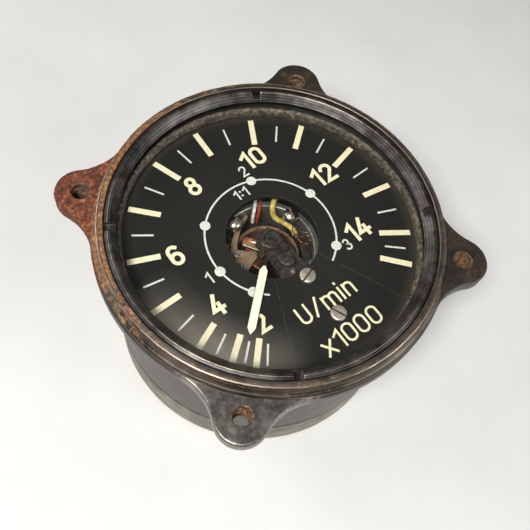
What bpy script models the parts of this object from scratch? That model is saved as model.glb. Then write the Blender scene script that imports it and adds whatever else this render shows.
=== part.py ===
"""Aircraft engine tachometer indicator, 80 mm class, with a four-eared flange.

The origin is the centre of the rear rim that the instrument stands on. +Z points out through the
glass, +Y to twelve o'clock on the dial and +X to three o'clock. Every size below is in millimetres.
"""

import math

import bmesh
import bpy
from mathutils import Matrix, Vector

MM = 0.001
GAP = 0.3                   # between pieces that touch on the real instrument
FINE_GAP = 0.12             # between small pieces that sit close
SMOOTH_ANGLE = math.radians(32)

# Case and flange
SEAT_Z = 50.0               # front face of the flange, which meets the panel
FLANGE_THICK = 4.0
FLANGE_R = 43.0             # round part of the flange between the ears
HOLE_SPACING = 66.0         # square pattern of the four mounting holes
HOLE_R = 2.15
EAR_R = 6.2                 # ear tip about its hole
EAR_BLEND_R = 14.0          # hollow curve from ear to flange
BARREL_R = 39.5
BORE_R = 37.4
RIM_R = 41.4
RIM_TOP_Z = 53.9
LEDGE_Z = 48.2              # the glass rests on this ledge
LEDGE_BORE_R = 39.6
CASE_REAR_Z = 12.9
LUG_ANGLES = (90, 210, 330)
LUG_R = 34.0                # pitch radius of the screws in the inner lugs

# Rear cover and connector
COVER_TOP_Z = 11.5
COVER_FLOOR_Z = 9.7
COVER_SKIRT_R = 37.9
CONNECTOR_R = 9.4
CONNECTOR_FLANGE_R = 15.5
PIN_X = 5.4                 # the two pins lie this far either side of the middle
PIN_TOP_Z = 15.6

# Window and dial
GLASS_LOW_Z = 49.4
GLASS_TOP_Z = 51.2
RING_OUTER_R = 39.3
RING_INNER_R = 36.5
RING_NOTCH_ANGLE = 60.3     # first of the four spanner notches
DIAL_TOP_Z = 45.76
DIAL_THICK = 1.0
DIAL_R = 37.0
DIAL_HOLE_R = 11.6
DIAL_HOLE_Y = -0.5
SEAM_ANGLE = 25.0           # edges of the sector, either side of six o'clock
SEAM_OFFSET = 1.8           # where those edges would cross the dial's middle line
DIAL_SCREWS = ((0.35, -14.0, 20), (0.35, -25.7, 115))

# Movement
CHASSIS_LOW_Z = 22.0
CHASSIS_TOP_Z = 23.6
BASE_TOP_Z = 25.6
FRAME_R = 13.2
FRAME_BORE_R = 11.7
FRAME_TOP_Z = 40.3
CORE_R = 5.8
CORE_BORE_R = 2.8
CORE_LOW_Z = 29.4
CORE_TOP_Z = 37.5
POLE_R = 8.6
POLE_BORE_R = 7.8
PILLAR_R = 10.3             # pitch radius of the two frame pillars
PILLAR_ANGLES = (20.5, 112.5)
BRIDGE_LOW_Z = 41.4
BRIDGE_TOP_Z = 42.6
CORE_SIDE = 173             # direction in which the core is held, which the coil never reaches
CORE_FOOT_HALF = 0.8        # half the width of the core's foot, clear of the coil at both stops
STOP_SIDE = 40.0            # the pointer stops this far either side of six o'clock
STOP_PIN_R = 6.0

# Pointer
POINTER_REST = 222.7        # direction of the parked pointer, anticlockwise from three o'clock
COIL_LAG = 98.0             # the coil stands this far behind the pointer
ARM_LOW_Z = 39.5
ARM_TOP_Z = 46.75
RISER_R = 8.0
POINTER_TIP_R = 27.5


# ---------------------------------------------------------------- helpers

def empty_scene():
    for old in list(bpy.data.objects):
        bpy.data.objects.remove(old, do_unlink=True)


def new_collection(name):
    collection = bpy.data.collections.new(name)
    bpy.context.scene.collection.children.link(collection)
    return collection


empty_scene()
PARTS = new_collection("tachometer_indicator")
CUTTERS = new_collection("cutters")


def finish_material(name, colour, roughness, metallic):
    material = bpy.data.materials.new(name)
    material.use_nodes = True
    shader = material.node_tree.nodes["Principled BSDF"]
    shader.inputs["Base Color"].default_value = (*colour, 1.0)
    shader.inputs["Roughness"].default_value = roughness
    shader.inputs["Metallic"].default_value = metallic
    return material


BLACK_CASE = finish_material("black_case", (0.030, 0.024, 0.020), 0.35, 0.4)
GREY_COVER = finish_material("grey_cover", (0.42, 0.41, 0.38), 0.45, 0.9)
BLACK_RING = finish_material("black_ring", (0.035, 0.034, 0.036), 0.30, 0.5)
CLEAR_GLASS = finish_material("clear_glass", (0.90, 0.95, 0.93), 0.05, 0.0)
DARK_RUBBER = finish_material("dark_rubber", (0.02, 0.02, 0.02), 0.80, 0.0)
DUSTY_GREY = finish_material("dusty_grey", (0.16, 0.13, 0.10), 0.70, 0.2)
DIAL_BLACK = finish_material("dial_black", (0.022, 0.021, 0.021), 0.75, 0.0)
NICKEL = finish_material("nickel", (0.62, 0.57, 0.50), 0.35, 1.0)
STEEL = finish_material("steel", (0.50, 0.50, 0.50), 0.35, 1.0)
DARK_STEEL = finish_material("dark_steel", (0.10, 0.09, 0.09), 0.40, 0.9)
BRASS = finish_material("brass", (0.62, 0.46, 0.20), 0.35, 1.0)
COPPER = finish_material("copper", (0.60, 0.28, 0.14), 0.40, 0.9)
TAN_BRONZE = finish_material("tan_bronze", (0.46, 0.33, 0.22), 0.50, 0.6)
ALUMINIUM = finish_material("aluminium", (0.60, 0.60, 0.58), 0.40, 1.0)
CREAM_LUME = finish_material("cream_lume", (0.90, 0.84, 0.62), 0.70, 0.0)
BAKELITE = finish_material("bakelite", (0.13, 0.06, 0.03), 0.40, 0.0)
RED_SLEEVE = finish_material("red_sleeve", (0.45, 0.06, 0.04), 0.60, 0.0)
YELLOW_SLEEVE = finish_material("yellow_sleeve", (0.68, 0.55, 0.22), 0.50, 0.0)
WHITE_SLEEVE = finish_material("white_sleeve", (0.75, 0.72, 0.66), 0.60, 0.0)


def scaled(x, y, z):
    return Vector((x, y, z)) * MM


def on_circle(radius, degrees):
    angle = math.radians(degrees)
    return radius * math.cos(angle), radius * math.sin(angle)


def arc(cx, cy, radius, start, end, steps):
    """Points along an arc from start to end, in degrees."""
    points = []
    for step in range(steps + 1):
        dx, dy = on_circle(radius, start + (end - start) * step / steps)
        points.append((cx + dx, cy + dy))
    return points


def circle(cx, cy, radius, steps=24):
    return arc(cx, cy, radius, 0, 360, steps)[:-1]


def add_object(name, mesh, material, parent=None):
    mesh.materials.append(material)
    mesh.shade_smooth()
    mesh.set_sharp_from_angle(angle=SMOOTH_ANGLE)
    piece = bpy.data.objects.new(name, mesh)
    PARTS.objects.link(piece)
    piece.parent = parent
    return piece


def mesh_from(name, bm):
    """Turn a bmesh drawn in millimetres into a mesh with its faces pointing out."""
    bmesh.ops.scale(bm, vec=(MM, MM, MM), verts=bm.verts)
    bmesh.ops.recalc_face_normals(bm, faces=bm.faces)
    mesh = bpy.data.meshes.new(name)
    bm.to_mesh(mesh)
    bm.free()
    return mesh


def add_cylinder(bm, x, y, z_low, z_high, radius, sides=24):
    place = Matrix.Translation((x, y, (z_low + z_high) / 2))
    bmesh.ops.create_cone(bm, cap_ends=True, segments=sides, radius1=radius, radius2=radius,
                          depth=z_high - z_low, matrix=place)


def add_box(bm, low, high, turn=0.0):
    """Box between two corners, turned about the Z axis through the origin."""
    middle = [(a + b) / 2 for a, b in zip(low, high)]
    size = [b - a for a, b in zip(low, high)]
    place = Matrix.Rotation(math.radians(turn), 4, "Z") @ Matrix.Translation(middle)
    bmesh.ops.create_cube(bm, size=1.0, matrix=place @ Matrix.Diagonal((*size, 1.0)))


def add_lathe(bm, profile, x=0.0, y=0.0, sides=16):
    """Spin a profile that starts and ends on the Z axis, then move it to x, y."""
    made = [bm.verts.new((radius, 0, z)) for radius, z in profile]
    edges = [bm.edges.new(pair) for pair in zip(made, made[1:])]
    spun = bmesh.ops.spin(bm, geom=made + edges, cent=(0, 0, 0), axis=(0, 0, 1), dvec=(0, 0, 0),
                          angle=math.tau, steps=sides, use_merge=True, use_normal_flip=False,
                          use_duplicate=False)
    linked = set(made) | {item for item in spun["geom_last"] if isinstance(item, bmesh.types.BMVert)}
    frontier = list(linked)
    while frontier:
        vert = frontier.pop()
        for edge in vert.link_edges:
            other = edge.other_vert(vert)
            if other not in linked:
                linked.add(other)
                frontier.append(other)
    whole = list(linked)
    bmesh.ops.remove_doubles(bm, verts=whole, dist=0.0005)
    whole = [vert for vert in whole if vert.is_valid]
    bmesh.ops.translate(bm, vec=(x, y, 0), verts=whole)


def solid(name, material, draw, parent=None):
    """A piece drawn by a function that fills an empty bmesh, in millimetres."""
    bm = bmesh.new()
    draw(bm)
    return add_object(name, mesh_from(name, bm), material, parent)


def turned(name, profile, material, closed=True, steps=96, parent=None):
    """Turned piece. The profile runs down its outer side; a closed one is a ring."""
    mesh = bpy.data.meshes.new(name)
    edges = [(i, i + 1) for i in range(len(profile) - 1)]
    if closed:
        edges.append((len(profile) - 1, 0))
    mesh.from_pydata([scaled(radius, 0, z) for radius, z in profile], edges, [])
    piece = add_object(name, mesh, material, parent)
    screw = piece.modifiers.new("turn", "SCREW")
    screw.axis = "Z"
    screw.angle = math.tau
    screw.steps = steps
    screw.render_steps = steps
    screw.use_merge_vertices = True
    screw.merge_threshold = 0.000001
    screw.use_smooth_shade = True
    return piece


def plate(name, outline, z_low, z_high, material, holes=(), parent=None):
    """Flat piece: a filled outline with holes, given a thickness."""
    curve = bpy.data.curves.new(name + "_outline", "CURVE")
    curve.dimensions = "2D"
    curve.fill_mode = "BOTH"
    curve.extrude = (z_high - z_low) / 2 * MM
    for ring in (outline, *holes):
        spline = curve.splines.new("POLY")
        spline.points.add(len(ring) - 1)
        for point, (x, y) in zip(spline.points, ring):
            point.co = (*scaled(x, y, 0), 1.0)
        spline.use_cyclic_u = True
    guide = bpy.data.objects.new(name + "_guide", curve)
    CUTTERS.objects.link(guide)
    guide.location.z = (z_low + z_high) / 2 * MM
    bpy.context.view_layer.update()
    graph = bpy.context.evaluated_depsgraph_get()
    mesh = bpy.data.meshes.new_from_object(guide.evaluated_get(graph))
    bm = bmesh.new()
    bm.from_mesh(mesh)
    bmesh.ops.transform(bm, matrix=guide.matrix_world, verts=bm.verts)
    bmesh.ops.remove_doubles(bm, verts=bm.verts, dist=0.0000002)
    bmesh.ops.recalc_face_normals(bm, faces=bm.faces)
    bm.to_mesh(mesh)
    bm.free()
    bpy.data.objects.remove(guide, do_unlink=True)
    mesh.materials.clear()
    return add_object(name, mesh, material, parent)


def smooth_route(knots, per_span):
    """Points along a smooth curve that passes through the knots."""
    knots = [Vector(knot) for knot in knots]
    padded = [2 * knots[0] - knots[1], *knots, 2 * knots[-1] - knots[-2]]
    points = []
    for a, b, c, d in zip(padded, padded[1:], padded[2:], padded[3:]):
        for step in range(per_span):
            t = step / per_span
            points.append(0.5 * (2 * b + (c - a) * t + (2 * a - 5 * b + 4 * c - d) * t ** 2
                                 + (3 * b - a - 3 * c + d) * t ** 3))
    return points + [knots[-1]]


def tube(name, points, radius, material, resolution=2, parent=None):
    """Round wire along the points, closed at both ends."""
    curve = bpy.data.curves.new(name, "CURVE")
    curve.dimensions = "3D"
    curve.bevel_depth = radius * MM
    curve.bevel_resolution = resolution
    curve.use_fill_caps = True
    spline = curve.splines.new("POLY")
    spline.points.add(len(points) - 1)
    for point, place in zip(spline.points, points):
        point.co = (*scaled(*place), 1.0)
    curve.materials.append(material)
    piece = bpy.data.objects.new(name, curve)
    PARTS.objects.link(piece)
    piece.parent = parent
    return piece


def tool(piece):
    """Put a piece among the cutters, out of the model."""
    PARTS.objects.unlink(piece)
    CUTTERS.objects.link(piece)
    piece.hide_render = True
    piece.display_type = "WIRE"
    return piece


def combine(piece, other, operation, solver="EXACT"):
    boolean = piece.modifiers.new(other.name, "BOOLEAN")
    boolean.operation = operation
    boolean.solver = solver
    boolean.object = tool(other)
    return piece


def cut(piece, name, draw):
    """Cut a piece with a tool that a function draws."""
    return combine(piece, solid(name, DARK_STEEL, draw), "DIFFERENCE")


def cut_holes(piece, places, radius, z_low, z_high, sides=24):
    """Drill upright round holes at the given x, y places."""
    def draw(bm):
        for x, y in places:
            add_cylinder(bm, x, y, z_low, z_high, radius, sides)
    return cut(piece, piece.name + "_drill_" + str(len(piece.modifiers)), draw)


def screw(name, place, head, shank, material, slot=0.5, dome=0.0):
    """Slotted screw. place is x, y and the slot's direction; head is its radius, seat and top;
    shank is its radius and end. It may point up or down."""
    x, y, turn = place
    head_r, seat, top = head
    shank_r, end = shank
    up = 1 if top > seat else -1
    tall = abs(top - seat)
    edge = min(0.18 * head_r, 0.25 * tall)
    profile = [(0, top + up * dome), (head_r - edge, top), (head_r, top - up * edge), (head_r, seat),
               (shank_r, seat), (shank_r, end), (0, end)]
    if dome:
        profile.insert(1, (0.55 * head_r, top + up * 0.75 * dome))
    low, high = sorted((top - up * 0.45 * tall, top + up * (dome + 0.5)))

    def draw_slot(bm):
        add_box(bm, (-head_r - 0.2, -slot / 2, low), (head_r + 0.2, slot / 2, high), turn)
        bmesh.ops.translate(bm, vec=(x, y, 0), verts=bm.verts)

    return cut(solid(name, material, lambda bm: add_lathe(bm, profile, x, y, 12)), name + "_slot", draw_slot)


def axis_empty(name, degrees):
    """Parent for the pieces that turn together about the Z axis."""
    holder = bpy.data.objects.new(name, None)
    PARTS.objects.link(holder)
    holder.rotation_euler.z = math.radians(degrees)
    return holder


# ---------------------------------------------------------------- outlines

def ear_blend():
    """Centre of the hollow curve that touches both the ear and the flange's round edge."""
    half = HOLE_SPACING / 2
    far = FLANGE_R + EAR_BLEND_R
    near = EAR_R + EAR_BLEND_R
    total = (2 * half * half + far ** 2 - near ** 2) / (2 * half)
    spread = math.sqrt(2 * far ** 2 - total ** 2)
    return (total + spread) / 2, (total - spread) / 2


def flange_outline():
    """Round flange with four ears, made a quarter at a time, anticlockwise."""
    half = HOLE_SPACING / 2
    bx, by = ear_blend()
    touch_flange = math.degrees(math.atan2(by, bx))
    touch_ear = math.degrees(math.atan2(by - half, bx - half))
    quarter = arc(0, 0, FLANGE_R, -touch_flange, touch_flange, 10)
    quarter += arc(bx, by, EAR_BLEND_R, 180 + touch_flange, 180 + touch_ear, 5)[1:]
    quarter += arc(half, half, EAR_R, touch_ear, 90 - touch_ear, 8)[1:]
    quarter += arc(by, bx, EAR_BLEND_R, 270 - touch_ear, 270 - touch_flange, 5)[1:-1]
    outline = []
    for turn in range(4):
        spin = Matrix.Rotation(math.radians(90 * turn), 2)
        outline += [tuple(spin @ Vector(point)) for point in quarter]
    return outline


def annular_sector(inner, outer, start, end, steps):
    return arc(0, 0, outer, start, end, steps) + arc(0, 0, inner, end, start, steps)


def wedge(inset):
    """Wedge at six o'clock between the dial's two seams, each moved in by inset."""
    reach = 45.0
    top = SEAM_OFFSET - inset / math.cos(math.radians(SEAM_ANGLE))
    bottom = top + reach * math.tan(math.radians(SEAM_ANGLE))
    return [(-top, 0), (-bottom, -reach), (bottom, -reach), (top, 0)]


# ---------------------------------------------------------------- sub-assemblies

def build_case():
    half = HOLE_SPACING / 2
    low = SEAT_Z - FLANGE_THICK
    profile = [(LEDGE_BORE_R + 0.5, RIM_TOP_Z), (RIM_R - 0.3, RIM_TOP_Z), (RIM_R, RIM_TOP_Z - 0.3),
               (RIM_R, SEAT_Z + 1.5), (RIM_R + 0.6, SEAT_Z + 0.3), (RIM_R + 1.3, SEAT_Z - 0.15),
               (RIM_R + 0.6, low + 1.0), (BARREL_R, low - 1.4), (BARREL_R, CASE_REAR_Z + 0.3),
               (BARREL_R - 0.3, CASE_REAR_Z), (BORE_R, CASE_REAR_Z), (BORE_R, LEDGE_Z),
               (LEDGE_BORE_R, LEDGE_Z), (LEDGE_BORE_R, RIM_TOP_Z - 0.9)]
    case = turned("case_body", profile, BLACK_CASE, steps=64)
    flange = plate("case_flange", flange_outline(), low, SEAT_Z, BLACK_CASE,
                   holes=[circle(0, 0, BARREL_R + 0.8, 36)])
    rounding = flange.modifiers.new("rounding", "BEVEL")
    rounding.width = 0.7 * MM
    rounding.segments = 1
    rounding.limit_method = "ANGLE"
    rounding.angle_limit = math.radians(50)
    combine(case, flange, "UNION", solver="MANIFOLD")

    def draw_lugs(bm):
        for angle in LUG_ANGLES:
            add_box(bm, (LUG_R - 2.8, -3.4, CASE_REAR_Z + 1.7),
                    (BORE_R + 0.9, 3.4, CHASSIS_LOW_Z - GAP), angle)

    combine(case, solid("case_lugs", BLACK_CASE, draw_lugs), "UNION")
    corners = [(sx * half, sy * half) for sx in (-1, 1) for sy in (-1, 1)]
    cut_holes(case, corners, HOLE_R, low - 2, SEAT_Z + 2, 20)
    cut_holes(case, [on_circle(LUG_R, angle) for angle in LUG_ANGLES], 1.55,
              CASE_REAR_Z, CHASSIS_LOW_Z + 1, 12)


def build_rear():
    skirt = COVER_SKIRT_R
    spigot = BORE_R - 0.4
    profile = [(0, COVER_TOP_Z), (spigot - 1.1, COVER_TOP_Z), (spigot - 1.1, COVER_TOP_Z + 2.7),
               (spigot, COVER_TOP_Z + 2.7), (spigot, COVER_TOP_Z), (BARREL_R - 0.2, COVER_TOP_Z),
               (BARREL_R, COVER_TOP_Z - 0.2), (BARREL_R, 0.5), (BARREL_R - 0.5, 0),
               (skirt + 0.3, 0), (skirt, 0.3), (skirt, COVER_FLOOR_Z - 0.8),
               (skirt - 0.8, COVER_FLOOR_Z), (0, COVER_FLOOR_Z)]
    cover = turned("rear_cover", profile, GREY_COVER, closed=False, steps=48)
    cut_holes(cover, [(0, 0)], CONNECTOR_R + 1.4 + GAP, COVER_FLOOR_Z - 1, COVER_TOP_Z + 1, 32)
    cut_holes(cover, [on_circle(LUG_R, angle) for angle in LUG_ANGLES], 1.55,
              COVER_FLOOR_Z - 1, COVER_TOP_Z + 1, 16)
    turned("cover_gasket", [(BARREL_R - 0.2, CASE_REAR_Z - GAP), (BARREL_R - 0.2, COVER_TOP_Z + GAP),
                            (spigot + GAP, COVER_TOP_Z + GAP), (spigot + GAP, CASE_REAR_Z - GAP)],
           DARK_RUBBER, steps=36)
    seat = COVER_FLOOR_Z - GAP
    for number, angle in enumerate(LUG_ANGLES, 1):
        screw(f"cover_screw_{number}", (*on_circle(LUG_R, angle), angle + 40), (2.6, seat, seat - 1.8),
              (1.25, 18.5), STEEL, slot=0.6)
    build_connector()


def build_connector():
    """Two-pin plug socket, let into the hollow back and held by a ring nut inside."""
    flange_top = COVER_FLOOR_Z - GAP
    flange_low = flange_top - 1.3
    wall = CONNECTOR_R + 1.4
    mouth = 1.2
    neck_top = COVER_TOP_Z + 2.6
    shell = turned("connector_shell",
                   [(wall, neck_top), (wall, flange_top), (CONNECTOR_FLANGE_R, flange_top),
                    (CONNECTOR_FLANGE_R, flange_low), (wall, flange_low), (wall, mouth + 0.3),
                    (wall - 0.3, mouth), (CONNECTOR_R + 0.3, mouth), (CONNECTOR_R, mouth + 0.3),
                    (CONNECTOR_R, neck_top)], ALUMINIUM, steps=32)

    def draw_key(bm):
        add_box(bm, (-1.0, CONNECTOR_R - 0.8, mouth + 0.8), (1.0, CONNECTOR_R + 0.7, 5.4))

    combine(shell, solid("connector_key", ALUMINIUM, draw_key), "UNION")
    nut_r = wall + GAP
    plate("connector_nut", circle(0, 0, 15.0, 8), COVER_TOP_Z + GAP, neck_top - 0.3, ALUMINIUM,
          holes=[circle(0, 0, nut_r, 32)])
    insert = turned("connector_insert",
                    [(0, 13.6), (CONNECTOR_R - 1.2, 13.6), (CONNECTOR_R - GAP, 12.8),
                     (CONNECTOR_R - GAP, 5.8), (0, 5.8)], BAKELITE, closed=False, steps=32)
    pins = [(PIN_X, 0), (-PIN_X, 0)]
    cut_holes(insert, pins, 1.3, 5, 14, 16)
    profile = [(0, PIN_TOP_Z), (0.7, PIN_TOP_Z), (1.1, PIN_TOP_Z - 0.3), (1.1, 2.9), (0.6, 2.3), (0, 2.3)]
    for name, x in (("connector_pin_left", -PIN_X), ("connector_pin_right", PIN_X)):
        solid(name, BRASS, lambda bm, x=x: add_lathe(bm, profile, x, 0, 12))


def build_window():
    ring = turned("retaining_ring",
                  [(RING_OUTER_R - 0.3, 53.8), (RING_OUTER_R, 53.5), (RING_OUTER_R, 51.8),
                   (RING_OUTER_R - 0.3, 51.5), (RING_INNER_R + 0.2, 51.5), (RING_INNER_R, 51.7),
                   (RING_INNER_R, 52.0)], BLACK_RING, steps=60)

    def draw_notches(bm):
        for quarter in range(4):
            add_box(bm, (RING_INNER_R - 0.4, -1.2, 52.3), (RING_OUTER_R - 0.1, 1.2, 54.5),
                    RING_NOTCH_ANGLE + 90 * quarter)

    cut(ring, "ring_notches", draw_notches)
    edge = 0.25
    glass_r = LEDGE_BORE_R - 0.4
    turned("glass", [(0, GLASS_TOP_Z), (glass_r - edge, GLASS_TOP_Z), (glass_r, GLASS_TOP_Z - edge),
                     (glass_r, GLASS_LOW_Z + edge), (glass_r - edge, GLASS_LOW_Z), (0, GLASS_LOW_Z)],
           CLEAR_GLASS, closed=False, steps=48)
    turned("glass_gasket", [(glass_r, GLASS_LOW_Z - GAP), (glass_r, LEDGE_Z + GAP),
                            (BORE_R + 0.3, LEDGE_Z + GAP), (BORE_R + 0.3, GLASS_LOW_Z - GAP)],
           DARK_RUBBER, steps=36)
    turned("spacer_ring", [(BORE_R - GAP, GLASS_LOW_Z - GAP), (BORE_R - GAP, DIAL_TOP_Z + 0.2),
                           (36.3, DIAL_TOP_Z + 0.2), (36.3, GLASS_LOW_Z - GAP)], DUSTY_GREY, steps=60)


def build_dial():
    low = DIAL_TOP_Z - DIAL_THICK
    seam = 0.08
    hole = circle(0, DIAL_HOLE_Y, DIAL_HOLE_R, 48)
    rim = circle(0, 0, DIAL_R, 64)
    dial = plate("dial_plate", rim, low, DIAL_TOP_Z, DIAL_BLACK, holes=[hole])
    combine(dial, plate("dial_wedge_gap", wedge(-seam), low - 1, DIAL_TOP_Z + 1, DIAL_BLACK), "DIFFERENCE")
    sector = plate("dial_sector", rim, low, DIAL_TOP_Z, DIAL_BLACK, holes=[hole])
    combine(sector, plate("dial_wedge", wedge(seam), low - 1, DIAL_TOP_Z + 1, DIAL_BLACK), "INTERSECT")
    screw_places = [place[:2] for place in DIAL_SCREWS]
    cut_holes(sector, screw_places, 1.3, low - 1, DIAL_TOP_Z + 1, 16)
    for name, place in zip(("dial_screw_inner", "dial_screw_outer"), DIAL_SCREWS):
        screw(name, place, (1.95, DIAL_TOP_Z + FINE_GAP, DIAL_TOP_Z + 0.95), (0.95, 42.0), NICKEL,
              slot=0.45, dome=0.12)


def build_chassis():
    outline = circle(0, 0, BORE_R - 0.4, 48)
    lug_places = [on_circle(LUG_R, angle) for angle in LUG_ANGLES]
    holes = [circle(x, y, 1.55, 12) for x, y in lug_places]
    holes += [circle(0, 0, 1.9, 20), circle(-18, 12, 3.0, 20), circle(16, -22, 3.0, 20)]
    chassis = plate("chassis_plate", outline, CHASSIS_LOW_Z, CHASSIS_TOP_Z, BRASS, holes=holes)
    post_top = DIAL_TOP_Z - DIAL_THICK - GAP

    def draw_posts(bm):
        for x, y in (on_circle(32, 45), on_circle(32, 135), DIAL_SCREWS[1][:2]):
            add_cylinder(bm, x, y, CHASSIS_LOW_Z + 0.5, post_top, 2.6, 14)

    combine(chassis, solid("riveted_posts", BRASS, draw_posts), "UNION")
    cut_holes(chassis, [DIAL_SCREWS[1][:2]], 1.3, 41.0, post_top + 1, 16)
    seat = CHASSIS_TOP_Z + GAP
    for number, angle in enumerate(LUG_ANGLES, 1):
        screw(f"chassis_screw_{number}", (*on_circle(LUG_R, angle), angle + 25), (2.4, seat, seat + 1.6),
              (1.25, 20.0), STEEL, slot=0.6)


def build_magnet_system():
    base_low = CHASSIS_TOP_Z + GAP
    floor = BASE_TOP_Z + GAP
    plate("base_plate", circle(0, 0, FRAME_R, 32), base_low, BASE_TOP_Z, DARK_STEEL,
          holes=[circle(0, 0, 1.9, 20)])
    frame = turned("frame_ring", [(FRAME_R - 0.2, FRAME_TOP_Z), (FRAME_R, FRAME_TOP_Z - 0.2),
                                  (FRAME_R, floor), (FRAME_BORE_R, floor),
                                  (FRAME_BORE_R, FRAME_TOP_Z - 0.2), (FRAME_BORE_R + 0.2, FRAME_TOP_Z)],
                   ALUMINIUM, steps=48)
    cut_holes(frame, BRIDGE_SCREWS, 0.6, FRAME_TOP_Z - 3, FRAME_TOP_Z + 1, 10)
    turned("pole_ring", [(POLE_R, 35.5), (POLE_R, floor), (POLE_BORE_R, floor), (POLE_BORE_R, 35.5)],
           TAN_BRONZE, steps=36)
    core = turned("core_ring", [(CORE_R - 0.2, CORE_TOP_Z), (CORE_R, CORE_TOP_Z - 0.2),
                                (CORE_R, CORE_LOW_Z), (CORE_BORE_R, CORE_LOW_Z),
                                (CORE_BORE_R, CORE_TOP_Z - 0.2), (CORE_BORE_R + 0.2, CORE_TOP_Z)],
                  COPPER, steps=30)

    def draw_slit(bm):
        add_box(bm, (CORE_BORE_R - 1, -0.4, CORE_LOW_Z - 1), (CORE_R + 1, 0.4, CORE_TOP_Z + 1), CORE_SIDE)

    cut(core, "core_slit", draw_slit)

    def draw_foot(bm):
        add_box(bm, (3.2, -CORE_FOOT_HALF, floor), (5.6, CORE_FOOT_HALF, CORE_LOW_Z - GAP), CORE_SIDE)

    solid("core_foot", DARK_STEEL, draw_foot)

    plate("magnet", annular_sector(9.1, 11.4, 122, 371, 30), floor, 36.8, DARK_STEEL)
    pillar_places = [on_circle(PILLAR_R, angle) for angle in PILLAR_ANGLES]

    low = FRAME_TOP_Z + GAP
    pillar = [(0, low + 2.1), (0.7, low + 1.95), (1.25, low + 1.45), (1.55, low + 0.7), (1.6, low),
              (0.9, low), (0.9, floor), (0, floor)]
    for name, (x, y) in zip(("frame_pillar_right", "frame_pillar_top"), pillar_places):
        solid(name, NICKEL, lambda bm, x=x, y=y: add_lathe(bm, pillar, x, y, 14))
    spin = Matrix.Rotation(math.radians(CORE_SIDE), 2)
    local = [(3.0, -0.7), (5.0, -1.7), (7.4, -3.2)]
    local += [(7.6, -3.9), (8.6, -4.6)] + arc(7.6, 0, 3.6, -58, 58, 10) + [(8.6, 4.6), (7.6, 3.9)]
    local += [(x, -y) for x, y in reversed(local[:3])]
    outline = [tuple(spin @ Vector(point)) for point in local]
    plate("core_bracket", outline, 37.8, 39.0, TAN_BRONZE)


BRIDGE_SCREWS = [(-5.0, -11.4), (5.0, -11.4)]
STUD_SCREW = (0.3, -6.5, 35)


def build_bridges():
    outline = arc(0, 0, 3.4, -31, 211, 20)
    outline += [(-3.5, -4.4), (-3.5, -9.4), (-6.6, -10.6), (-6.6, -13.4), (-3.6, -13.8), (-3.4, -16.2)]
    outline += [(3.4, -16.2), (3.6, -13.8), (6.6, -13.4), (6.6, -10.6), (3.5, -9.4), (3.5, -4.4)]
    bridge = plate("upper_bridge", outline, BRIDGE_LOW_Z, BRIDGE_TOP_Z, DARK_STEEL)
    pad_top = DIAL_TOP_Z - DIAL_THICK - GAP

    def draw_pad(bm):
        add_box(bm, (-3.0, -16.0, BRIDGE_TOP_Z - 0.4), (3.0, -12.2, pad_top))

    combine(bridge, solid("bridge_pad", DARK_STEEL, draw_pad), "UNION")

    def draw_feet(bm):
        for x, y in BRIDGE_SCREWS:
            add_cylinder(bm, x, y, FRAME_TOP_Z + GAP, BRIDGE_LOW_Z + 0.3, 1.3, 16)

    combine(bridge, solid("bridge_feet", DARK_STEEL, draw_feet), "UNION")

    def draw_stops(bm):
        for side in (-1, 1):
            lean = STOP_SIDE - math.degrees(math.asin(1.05 / STOP_PIN_R))
            x, y = on_circle(STOP_PIN_R, 270 + side * lean)
            add_cylinder(bm, x, y, ARM_LOW_Z - 0.05, BRIDGE_LOW_Z + 0.4, 0.4, 12)

    combine(bridge, solid("stop_pins", STEEL, draw_stops), "UNION")
    cut_holes(bridge, [(0, 0)], 1.7, BRIDGE_LOW_Z - 1, BRIDGE_TOP_Z + 1, 20)
    cut_holes(bridge, [DIAL_SCREWS[0][:2], STUD_SCREW[:2]], 1.3, BRIDGE_LOW_Z - 1, pad_top + 1, 16)
    cut_holes(bridge, BRIDGE_SCREWS, 0.7, FRAME_TOP_Z, BRIDGE_TOP_Z + 1, 10)
    for name, (x, y) in zip(("bridge_screw_left", "bridge_screw_right"), BRIDGE_SCREWS):
        screw(name, (x, y, 70), (1.3, BRIDGE_TOP_Z + GAP, BRIDGE_TOP_Z + 1.3), (0.45, FRAME_TOP_Z - 2.0),
              STEEL, slot=0.35)
    screw("stud_screw", STUD_SCREW, (2.2, BRIDGE_TOP_Z + 0.2, BRIDGE_TOP_Z + 1.2),
          (1.0, BRIDGE_LOW_Z + 0.1), DARK_STEEL, slot=0.45)
    screw("upper_jewel_screw", (0, 0, 35), (1.4, 42.0, 44.3), (1.2, 41.5), NICKEL, slot=0.4)
    screw("lower_jewel_screw", (0, 0, 0), (1.6, 24.0, 19.4), (1.3, 25.9), BRASS, slot=0.4)
    nut = [on_circle(3.0, 10 + 60 * side) for side in range(6)]
    plate("jewel_lock_nut", nut, 43.5, 44.1, DARK_STEEL, holes=[circle(0, 0, 1.7, 20)])


def build_zero_lever():
    """Carries the outer end of the upper hairspring round the jewel screw."""
    holder = axis_empty("zero_lever_axis", 205)
    outline = arc(0, 0, 2.7, 22, 338, 24) + [(5.6, -0.75), (6.0, 0), (5.6, 0.75)]
    lever = plate("zero_lever", outline, 42.8, 43.2, BRASS, holes=[circle(0, 0, 1.7, 20)], parent=holder)

    def draw_stud(bm):
        add_cylinder(bm, 4.75, 0, 40.85, 43.0, 0.35, 10)

    stud = solid("hairspring_stud", BRASS, draw_stud, parent=holder)
    combine(lever, stud, "UNION")


def spiral(inner, outer, turns, z, per_turn, start):
    count = round(turns * per_turn)
    points = []
    for step in range(count + 1):
        x, y = on_circle(inner + (outer - inner) * step / count, start + 360 * step / per_turn)
        points.append((x, y, z))
    return points


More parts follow.
